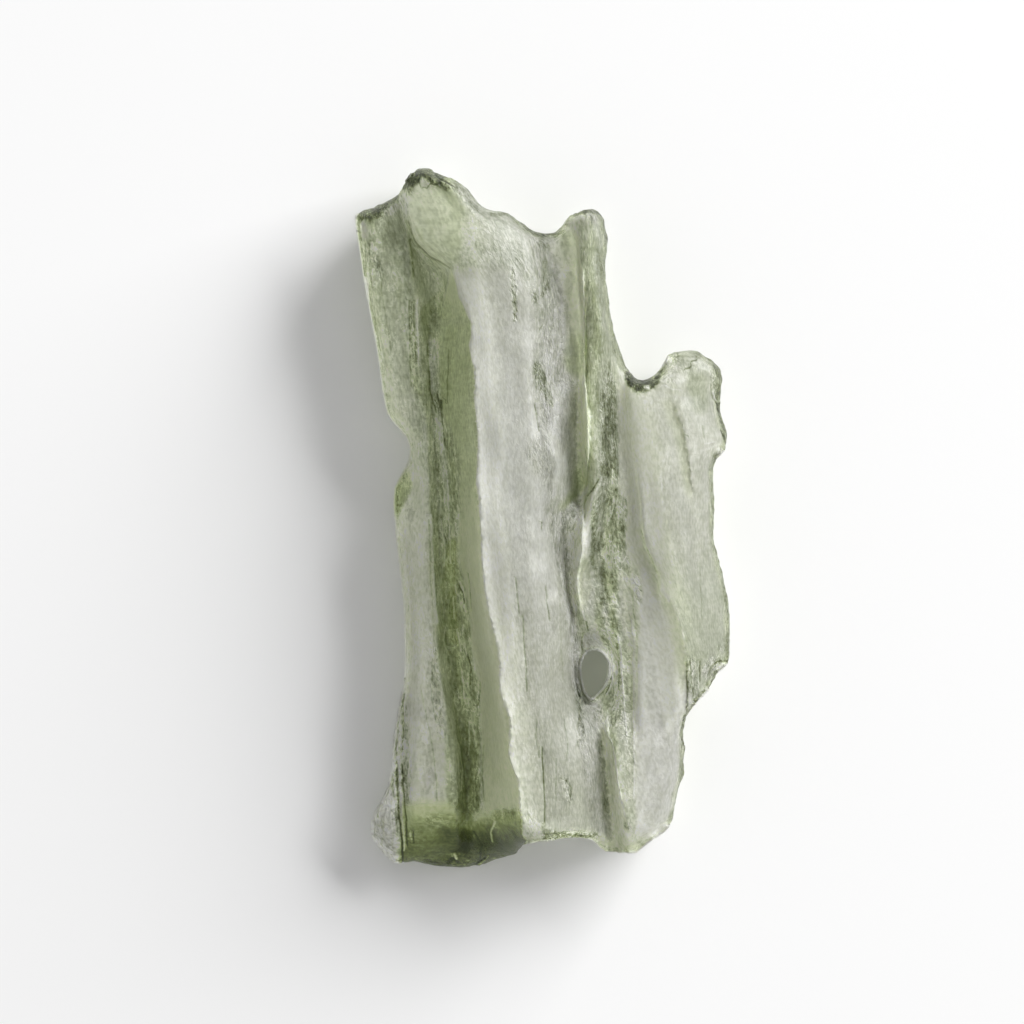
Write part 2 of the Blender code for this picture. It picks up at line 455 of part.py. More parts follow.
def outline_curve():
    """The outline's points and the width of the rounded edge at each."""
    places = [place for stretch in OUTLINE for place in stretch.places]
    widths = [stretch.rounding for stretch in OUTLINE for _ in stretch.places]
    curve, position = closed_curve(places, RIM_SPACING)
    width = np.interp(position, np.arange(len(widths) + 1), widths + widths[:1])
    return curve, width


def nearest_edge(points, loop, width):
    """Distance of each point from the loop, and the width of the loop's edge there."""
    start, end = loop, np.roll(loop, -1, axis=0)
    run = end - start
    length = np.sum(run**2, axis=1)
    offset = points[:, None, :] - start[None, :, :]
    t = np.clip(np.sum(offset * run, axis=2) / length, 0.0, 1.0)
    gap = np.linalg.norm(offset - t[:, :, None] * run, axis=2)
    nearest = np.argmin(gap, axis=1)
    rows = np.arange(len(points))
    t = t[rows, nearest]
    return gap[rows, nearest], width[nearest] * (1.0 - t) + np.roll(width, -1)[nearest] * t


def is_inside(points, loop):
    """Even-odd test of each point against the loop."""
    inside = np.zeros(len(points), dtype=bool)
    x, y = points[:, 0], points[:, 1]
    for (x0, y0), (x1, y1) in zip(loop, np.roll(loop, -1, axis=0)):
        spans = (y0 > y) != (y1 > y)
        if not spans.any():
            continue
        inside ^= spans & (x < x0 + (y - y0) * (x1 - x0) / (y1 - y0))
    return inside


class Edge:
    """The rounded edge round the outline and round the hole."""

    def __init__(self):
        self.outline, self.outline_width = outline_curve()
        self.hole, _ = closed_curve(HOLE, RIM_SPACING * 0.8)
        self.hole_width = np.full(len(self.hole), HOLE_ROUNDING)

    def fullness(self, points):
        """0 on the edge, 1 where the stone has its whole thickness, a quarter round between."""
        out, out_width = nearest_edge(points, self.outline, self.outline_width)
        hole, hole_width = nearest_edge(points, self.hole, self.hole_width)
        depth = np.minimum(out / out_width, hole / hole_width)
        depth = np.where(depth < 1e-3, 0.0, np.clip(depth, 0.0, 1.0))
        return np.sqrt(1.0 - (1.0 - depth) ** 2)

    def on_stone(self, points):
        return is_inside(points, self.outline) & ~is_inside(points, self.hole)

    def rings(self, share):
        """Both loops moved into the stone by a share of their edge's width."""
        rings = []
        for loop, width, inward in ((self.outline, self.outline_width, 1.0),
                                    (self.hole, self.hole_width, -1.0)):
            tangent = np.roll(loop, -1, axis=0) - np.roll(loop, 1, axis=0)
            tangent /= np.linalg.norm(tangent, axis=1)[:, None]
            clockwise = np.sum((np.roll(loop[:, 0], -1) - loop[:, 0])
                               * (np.roll(loop[:, 1], -1) + loop[:, 1])) > 0.0
            side = inward if clockwise else -inward
            normal = side * np.stack([tangent[:, 1], -tangent[:, 0]], axis=1)
            moved = loop + normal * (width * share)[:, None]
            out, _ = nearest_edge(moved, self.outline, self.outline_width)
            gap, _ = nearest_edge(moved, loop, width)
            kept = self.on_stone(moved) & (gap > 0.93 * width * share) & (out > 0.2 * share)
            rings.append(moved[kept])
        return np.vstack(rings)


def flow_columns(lines, spacing):
    """Columns of points that run with the flow: one on each line and others evenly between two
    lines. Each column has a point in every row, and says which of them there is room for."""
    y = np.arange(LENGTH / 2.0, -LENGTH / 2.0, -spacing[1])
    places = places_of(lines, y)
    for k in range(len(lines) - 1):
        gap = places[k + 1] - places[k]
        count = max(1, round(gap.max() / spacing[0]))
        stride = 2.0 ** np.ceil(np.log2(0.6 * spacing[0] * count / gap))
        for i in range(count):
            room = i % np.maximum(stride, 1.0) == 0.0
            if i == 0 and k and lines[k].turn == "soft":
                room = places[k] - places[k - 1] > 1.3 * LEAST_GAP
            yield np.stack([places[k] + gap * i / count, y], axis=1), room


def apart_from(points, others, distance):
    """The points that keep the distance from all the others."""
    if len(others) == 0:
        return points
    gaps = np.linalg.norm(points[:, None, :] - others[None, :, :], axis=2).min(axis=1)
    return points[gaps > distance]


def thinned(points, distance):
    """The points without those that crowd an earlier one."""
    kept = []
    for point in points:
        if all(np.hypot(*(point - other)) > distance for other in kept):
            kept.append(point)
    return np.array(kept)


def sheet_layout(edge, spacing, lines):
    """Flat points and triangles for one face of the stone. The loops' points come first."""
    n_out, n_hole = len(edge.outline), len(edge.hole)
    points = [edge.outline, edge.hole]
    links = [(i, (i + 1) % n_out) for i in range(n_out)]
    links += [(n_out + i, n_out + (i + 1) % n_hole) for i in range(n_hole)]
    for share, room in RIM_RINGS:
        ring = apart_from(edge.rings(share), np.vstack(points), room)
        points.append(thinned(ring, 0.62 * RIM_SPACING))
    rim = np.vstack(points)
    count = len(rim)
    for column, room in flow_columns(lines, spacing):
        kept = room & edge.on_stone(column)
        kept &= edge.fullness(column) > 0.999
        kept &= np.linalg.norm(column[:, None, :] - rim[None, :, :], axis=2).min(axis=1) > COLUMN_TO_RIM
        number = count + np.cumsum(kept) - 1
        links += [(number[i], number[i + 1]) for i in np.flatnonzero(kept[:-1] & kept[1:])]
        points.append(column[kept])
        count += int(kept.sum())
    flat = [Vector(point) for point in np.vstack(points)]
    flat, _, faces, *_ = delaunay_2d_cdt(flat, links, [], 0, 1e-6)
    flat = np.array([tuple(point) for point in flat])
    middles = np.array([flat[list(face)].mean(axis=0) for face in faces])
    on_stone = edge.on_stone(middles)
    return flat, [tuple(face) for face, keep in zip(faces, on_stone) if keep]


def upward(flat, face):
    (ax, ay), (bx, by), (cx, cy) = flat[list(face)]
    return (bx - ax) * (cy - ay) - (by - ay) * (cx - ax) > 0.0


def stone_faces():
    """Vertices and triangles of the front and the back, which share the edge's places."""
    edge = Edge()
    vertices, faces = [], []
    for side, spacing, lines in ((1, FRONT_SPACING, FRONT_LINES), (-1, BACK_SPACING, BACK_LINES)):
        flat, triangles = sheet_layout(edge, spacing, lines)
        x, y = flat[:, 0], flat[:, 1]
        back = back_height(x, y)
        front = np.maximum(front_height(x, y), back + MIN_THICKNESS)
        middle = back + RIM_HEIGHT * (front - back)
        reach = edge.fullness(flat)
        z = middle + ((front if side > 0 else back) - middle) * reach
        first = len(vertices)
        vertices += list(zip(x, y, z))
        for face in triangles:
            ordered = face if upward(flat, face) == (side > 0) else face[::-1]
            faces.append([first + i for i in ordered])
    return vertices, faces


def glass_material():
    material = bpy.data.materials.new("natural_glass")
    material.use_nodes = True
    shader = material.node_tree.nodes["Principled BSDF"]
    shader.inputs["Base Color"].default_value = GLASS_COLOUR
    shader.inputs["Roughness"].default_value = GLASS_ROUGHNESS
    shader.inputs["Metallic"].default_value = 0.0
    shader.inputs["IOR"].default_value = GLASS_IOR
    shader.inputs["Transmission Weight"].default_value = 0.9
    return material


def build_stone():
    vertices, faces = stone_faces()
    mesh = bpy.data.meshes.new(NODE_NAME)
    mesh.from_pydata([Vector(v) * MM for v in vertices], [], faces)
    work = bmesh.new()
    work.from_mesh(mesh)
    bmesh.ops.remove_doubles(work, verts=work.verts[:], dist=1e-6)
    loose = [v for v in work.verts if not v.link_faces]
    bmesh.ops.delete(work, geom=loose, context="VERTS")
    low = Vector([min(v.co[i] for v in work.verts) for i in range(3)])
    high = Vector([max(v.co[i] for v in work.verts) for i in range(3)])
    to_origin = Vector(((low.x + high.x) / 2, (low.y + high.y) / 2, low.z))
    bmesh.ops.translate(work, verts=work.verts[:], vec=-to_origin)
    work.to_mesh(mesh)
    work.free()
    mesh.materials.append(glass_material())
    mesh.shade_smooth()
    mesh.set_sharp_from_angle(angle=np.radians(35.0))
    stone = bpy.data.objects.new(NODE_NAME, mesh)
    bpy.context.scene.collection.objects.link(stone)
    print(f"{NODE_NAME}: {len(mesh.polygons)} triangles,", [round(s / MM, 2) for s in high - low])


def main():
    for old in list(bpy.data.objects):
        bpy.data.objects.remove(old)
    build_stone()


main()
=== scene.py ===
import math
import bpy
import numpy as np
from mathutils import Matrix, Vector, kdtree, noise


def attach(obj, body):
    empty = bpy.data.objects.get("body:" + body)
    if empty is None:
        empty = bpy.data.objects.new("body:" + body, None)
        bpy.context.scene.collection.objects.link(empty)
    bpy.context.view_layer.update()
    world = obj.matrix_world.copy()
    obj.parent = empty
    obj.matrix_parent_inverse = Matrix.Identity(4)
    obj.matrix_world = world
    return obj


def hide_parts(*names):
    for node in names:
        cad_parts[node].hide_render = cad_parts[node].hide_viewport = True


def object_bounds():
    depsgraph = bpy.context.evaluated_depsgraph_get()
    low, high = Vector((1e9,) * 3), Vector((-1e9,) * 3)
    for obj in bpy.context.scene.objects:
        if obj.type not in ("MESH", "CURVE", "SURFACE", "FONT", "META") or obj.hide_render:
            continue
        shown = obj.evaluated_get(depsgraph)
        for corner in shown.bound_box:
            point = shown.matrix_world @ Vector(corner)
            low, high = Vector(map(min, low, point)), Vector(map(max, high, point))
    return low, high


# A moldavite on a pale table: a thin, fluted shard of green natural glass. Places are in
# millimetres, X to the right and Y up the stone, and become metres where they meet the mesh.

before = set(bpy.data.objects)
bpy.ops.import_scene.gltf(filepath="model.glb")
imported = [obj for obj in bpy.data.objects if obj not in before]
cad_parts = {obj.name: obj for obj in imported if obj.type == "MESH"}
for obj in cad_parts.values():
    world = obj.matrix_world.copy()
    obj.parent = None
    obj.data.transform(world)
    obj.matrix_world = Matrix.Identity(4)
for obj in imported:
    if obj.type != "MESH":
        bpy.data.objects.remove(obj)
cadBox = [list(corner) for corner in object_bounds()]
mm = 0.001
print("frame loaded")


def smoothStep(low, high, value):
    t = np.clip((value - low) / (high - low), 0.0, 1.0)
    return t * t * (3.0 - 2.0 * t)


def selectOnly(piece):
    if bpy.context.object and bpy.context.object.mode != "OBJECT":
        bpy.ops.object.mode_set(mode="OBJECT")
    bpy.ops.object.select_all(action="DESELECT")
    piece.select_set(True)
    bpy.context.view_layer.objects.active = piece


def copyNode(nodeName, pieceName):
    selectOnly(bpy.data.objects[nodeName])
    bpy.ops.object.duplicate()
    piece = bpy.context.object
    piece.name = piece.data.name = pieceName
    bpy.ops.object.mode_set(mode="EDIT")
    bpy.ops.mesh.select_all(action="SELECT")
    bpy.ops.mesh.remove_doubles(threshold=0.000001)  # a node's mesh is loose triangles
    bpy.ops.object.mode_set(mode="OBJECT")
    return piece


def applyModifier(piece, kind, **settings):
    selectOnly(piece)
    bpy.ops.object.modifier_add(type=kind)
    modifier = piece.modifiers[-1]
    for name, value in settings.items():
        setattr(modifier, name, value)
    bpy.ops.object.modifier_apply(modifier=modifier.name)


def edgeEnds(piece):
    ends = np.empty(len(piece.data.edges) * 2, dtype=np.int32)
    piece.data.edges.foreach_get("vertices", ends)
    return ends.reshape(-1, 2)


def splitLongEdges(piece, longest):
    # longest says for each point how long, in mm, an edge there may be
    places, ends = placesOf(piece), edgeEnds(piece)
    lengths = np.linalg.norm(places[ends[:, 0]] - places[ends[:, 1]], axis=1)
    selectOnly(piece)
    bpy.ops.object.mode_set(mode="EDIT")
    bpy.ops.mesh.select_mode(type="EDGE")
    bpy.ops.mesh.select_all(action="DESELECT")
    bpy.ops.object.mode_set(mode="OBJECT")
    piece.data.edges.foreach_set("select", lengths > longest[ends].mean(axis=1))
    bpy.ops.object.mode_set(mode="EDIT")
    bpy.ops.mesh.subdivide(number_cuts=1, ngon=False)
    bpy.ops.mesh.select_all(action="SELECT")
    bpy.ops.mesh.quads_convert_to_tris()
    bpy.ops.object.mode_set(mode="OBJECT")


def placesOf(piece):
    flat = np.empty(len(piece.data.vertices) * 3)
    piece.data.vertices.foreach_get("co", flat)
    return flat.reshape(-1, 3) / mm


def setPlaces(piece, places):
    piece.data.vertices.foreach_set("co", (places * mm).ravel())
    piece.data.update()


def normalsOf(piece):
    flat = np.empty(len(piece.data.vertices) * 3)
    piece.data.vertex_normals.foreach_get("vector", flat)
    return flat.reshape(-1, 3)


def noiseAt(places, perMm, seed):
    # smooth noise, about -1 to 1, with perMm waves along each axis
    spots = (places * np.array(perMm) + seed).tolist()
    return np.array([noise.noise(Vector(spot)) for spot in spots])


def noiseSum(places, noises):
    # each noise: amount, waves per mm across, along and up, seed
    return sum(amount * noiseAt(places, perMm, seed) for amount, perMm, seed in noises)


# The flow runs down the stone and bends a little on its way. Each line is where one ridge or
# groove passes, (y, x) from the top end down.
flowLines = [
    [(15, -8.7), (9, -8.4), (4.5, -7.5), (0.9, -7.2), (-8.2, -7), (-12.7, -7.8), (-15, -8)],
    [(15, -7), (12.7, -6.2), (9, -5.6), (4.5, -5.2), (-4.5, -4.8), (-9.1, -4.2), (-12.7, -3.8)],
    [(15, -6.4), (12.7, -5.8), (11.4, -4.2), (8.4, -3.2), (1.8, -3), (-3.6, -2.6), (-8.2, -1.8),
     (-14.7, -0.9)],
    [(15, -4.6), (10, -2.4), (0.9, -1.8), (-3.6, -1.4), (-8.2, -0.6), (-15, 0.2)],
    [(14, -0.2), (10, 0.7), (4.5, 1.1), (-2.7, 1.2), (-7.2, 1.8), (-10.9, 2.4), (-15, 2.6)],
    [(14, 1.4), (10.9, 1.9), (5.5, 1.95), (1.1, 2.2), (-2.7, 1.6), (-5.9, 2.4), (-10.9, 3.3),
     (-15, 3.8)],
    [(14, 2.6), (9.1, 3.2), (4.5, 4), (-0.4, 4.5), (-4.5, 6), (-6.6, 6.6), (-15, 7)],
    [(14, 6), (7.7, 7.8), (3.6, 8.4), (-1.8, 8.1), (-7.2, 8.5), (-15, 8.5)],
]


def flowAcross(x, y):
    # x with the bends of the flow taken out
    passed, middle = [], []
    for line in flowLines:
        downs, acrosses = [-py for py, px in line], [px for py, px in line]
        passed.append(np.interp(-y, downs, acrosses))
        middle.append(float(np.interp(0.0, downs, acrosses)))
    straight = x - passed[0] + middle[0]
    for k in range(len(flowLines) - 1):
        share = (x - passed[k]) / (passed[k + 1] - passed[k])
        straight = np.where(x >= passed[k], middle[k] + share * (middle[k + 1] - middle[k]), straight)
    return np.where(x > passed[-1], x - passed[-1] + middle[-1], straight)


def besideLine(across, down, start, end):
    # how far along a straight line each point lies, from 0 to 1, and how far from it
    dx, dy = end[0] - start[0], end[1] - start[1]
    length = dx * dx + dy * dy
    toX, toY = across - start[0], down - start[1]
    t = np.clip((toX * dx + toY * dy) / length, 0.0, 1.0) if length else 0.0
    return t, np.hypot(toX - t * dx, toY - t * dy)


def brushWeight(across, down, path, softness):
    # 1 on the path, 0 outside the brush, whose half width changes from point to point
    weight = np.zeros(len(across))
    if len(path) == 1:
        path = path * 2
    for start, end in zip(path, path[1:]):
        t, gap = besideLine(across, down, start, end)
        width = start[2] + t * (end[2] - start[2])
        inside = 1.0 - smoothStep(width * (1.0 - softness), width * (1.0 + softness), gap)
        weight = np.maximum(weight, inside)
    return weight


def inView(places):
    # where the camera sees each place, across and down
    x, y, z = places.T
    away = view["width"] * view["lens"] / view["sensor"]
    scale = view["perMm"] * away / (away + view["focus"] - z)
    middle = view["side"] / 2
    return middle + scale * (x - view["centre"][0]), middle - scale * (y - view["centre"][1])


def borderOf(border):
    return borders[border] if isinstance(border, str) else border


def zoneWeight(across, down, left, right, softLeft, softRight, tints):
    # a zone runs down the stone between two borders, and its tint changes on the way
    left, right = borderOf(left), borderOf(right)
    top, bottom = max(left[0][0], right[0][0]), min(left[-1][0], right[-1][0])
    leftHere, rightHere = (np.interp(down, [p[0] for p in b], [p[1] for p in b]) for b in (left, right))
    weight = smoothStep(-softLeft, softLeft, across - leftHere)
    weight = weight * smoothStep(-softRight, softRight, rightHere - across)
    softEnd = view["softEnd"]
    weight = weight * smoothStep(top - softEnd, top + softEnd, down)
    weight = weight * smoothStep(bottom + softEnd, bottom - softEnd, down)
    return weight, np.interp(down, np.linspace(top, bottom, len(tints)), tints)


def besideBorder(across, down, border):
    # signed distance in mm from a border, right of it above zero, and a weight that fades
    # towards the border's two ends
    points = np.array([(p[1], p[0]) for p in borderOf(border)], dtype=float)
    steps = np.diff(points, axis=0)
    lengths = np.hypot(*steps.T)
    passed = np.concatenate([[0.0], np.cumsum(lengths)])
    nearest = np.full(len(across), 1e9)
    signed, along = np.zeros(len(across)), np.zeros(len(across))
    for (ax, ay), (dx, dy), length, start in zip(points, steps, lengths, passed):
        t = np.clip(((across - ax) * dx + (down - ay) * dy) / length ** 2, 0.0, 1.0)
        gap = np.hypot(across - ax - t * dx, down - ay - t * dy)
        closer = gap < nearest
        nearest = np.where(closer, gap, nearest)
        signed = np.where(closer, gap * np.sign(dy * (across - ax) - dx * (down - ay)), signed)
        along = np.where(closer, start + t * length, along)
    fade = 0.6 * view["perMm"]
    ends = smoothStep(0.0, fade, along) * smoothStep(0.0, fade, passed[-1] - along)
    return signed / view["perMm"], ends


def treeOf(spots):
    # finds the nearest of the spots as seen from above
    tree = kdtree.KDTree(len(spots))
    for k, spot in enumerate(spots.tolist()):
        tree.insert((spot[0], spot[1], 0.0), k)
    tree.balance()
    return tree


def nearestRim(piece, places, normals):
    # seen from above: how far each point is from where the surface turns over, and which way
    # the surface faces there
    ends = edgeEnds(piece)
    a, b = normals[ends[:, 0], 2], normals[ends[:, 1], 2]
    turning = a * b < 0
    share = (a[turning] / (a[turning] - b[turning]))[:, None]
    spots = places[ends[turning, 0]] * (1.0 - share) + places[ends[turning, 1]] * share
    facing = normals[ends[turning, 0]] * (1.0 - share) + normals[ends[turning, 1]] * share
    tree = treeOf(spots)
    found = [tree.find((px, py, 0.0))[1:] for px, py in places[:, :2].tolist()]
    return np.array([f[1] for f in found]), facing[[f[0] for f in found], :2]


def plateauHeight(places, normals, rim, reach):
    # the height of the front a little way in from the rim, for each point beside the rim
    inner = places[(rim > reach) & (rim < reach + 0.3) & (normals[:, 2] > 0.3)]
    tree = treeOf(inner)
    heights = places[:, 2].copy()
    for k in np.flatnonzero((rim <= reach) & (normals[:, 2] > 0.0)).tolist():
        heights[k] = inner[tree.find((places[k, 0], places[k, 1], 0.0))[1], 2]
    return heights


# What follows was read in the camera's view: across and down from its top left corner,
# 1024 to its width. The borders run down the stone, (down, across).
view = {"centre": (-1.406, 0.374), "width": 46.447, "focus": 2.5, "lens": 120.0, "sensor": 36.0,
        "side": 1024.0, "perMm": 22.047, "softEnd": 7.0}

borders = {
    "plateRight": [(190, 405), (218, 404), (240, 404), (300, 413), (330, 410), (380, 411), (400, 420),
     (430, 428), (500, 430), (560, 432), (620, 437), (660, 439), (700, 446), (740, 450), (780, 452),
     (812, 446), (845, 440)],
    "grooveRight": [(300, 444), (330, 439), (370, 440), (400, 442), (430, 445), (440, 452), (452, 459),
     (470, 461), (482, 458), (550, 457), (565, 459), (585, 466), (605, 470), (640, 472), (662, 472),
     (682, 479), (740, 480), (800, 480), (820, 483)],
    "wallLeft": [(322, 440), (340, 438), (380, 440), (400, 441), (430, 446), (450, 453), (465, 459),
     (520, 459), (545, 458), (565, 460), (585, 465), (605, 469), (645, 472), (675, 476), (690, 480),
     (780, 483), (820, 484)],
    "centralLip": [(270, 452), (284, 456), (298, 459), (310, 465), (322, 470), (335, 471), (345, 469),
     (358, 471), (370, 474), (385, 475), (400, 474), (430, 477), (450, 478), (485, 476), (500, 479),
     (545, 481), (585, 484), (605, 487), (645, 496), (660, 499), (690, 500), (705, 504), (718, 510),
     (755, 508), (768, 513), (780, 518), (820, 520), (838, 523)],
    "crestRight": [(205, 500), (260, 514), (296, 532), (335, 538), (370, 531), (400, 535), (430, 544),
     (450, 560), (464, 564), (485, 557), (510, 546), (545, 552), (585, 562), (625, 566), (690, 577),
     (718, 575), (755, 590), (838, 597)],
    "valleyLeft": [(226, 526), (260, 532), (295, 540), (330, 541), (360, 541), (395, 541), (430, 546),
     (445, 562), (480, 568), (500, 560), (515, 550), (550, 553), (575, 560), (640, 568), (690, 572)],
    "secondLip": [(226, 578), (262, 581), (280, 584), (295, 588), (325, 585), (345, 588), (375, 585),
     (395, 584), (425, 589), (470, 588), (488, 588), (500, 584), (514, 582), (556, 582)],
    "ridgeRight": [(214, 602), (260, 602), (300, 604), (345, 603), (425, 601), (480, 600)],
    "thirdLip": [(372, 628), (400, 628), (420, 630), (440, 632), (460, 635), (480, 637), (500, 640),
     (545, 644), (555, 650), (576, 660), (590, 661), (606, 672), (618, 678), (640, 683), (660, 687),
     (690, 688), (716, 686)],
    "stepEdge": [(400, 672), (415, 678), (430, 683), (445, 686), (460, 689), (480, 691), (498, 693)],
    "lobeLip": [(725, 602), (733, 607), (745, 612), (760, 615), (778, 617), (795, 620), (810, 624),
     (836, 629)],
}

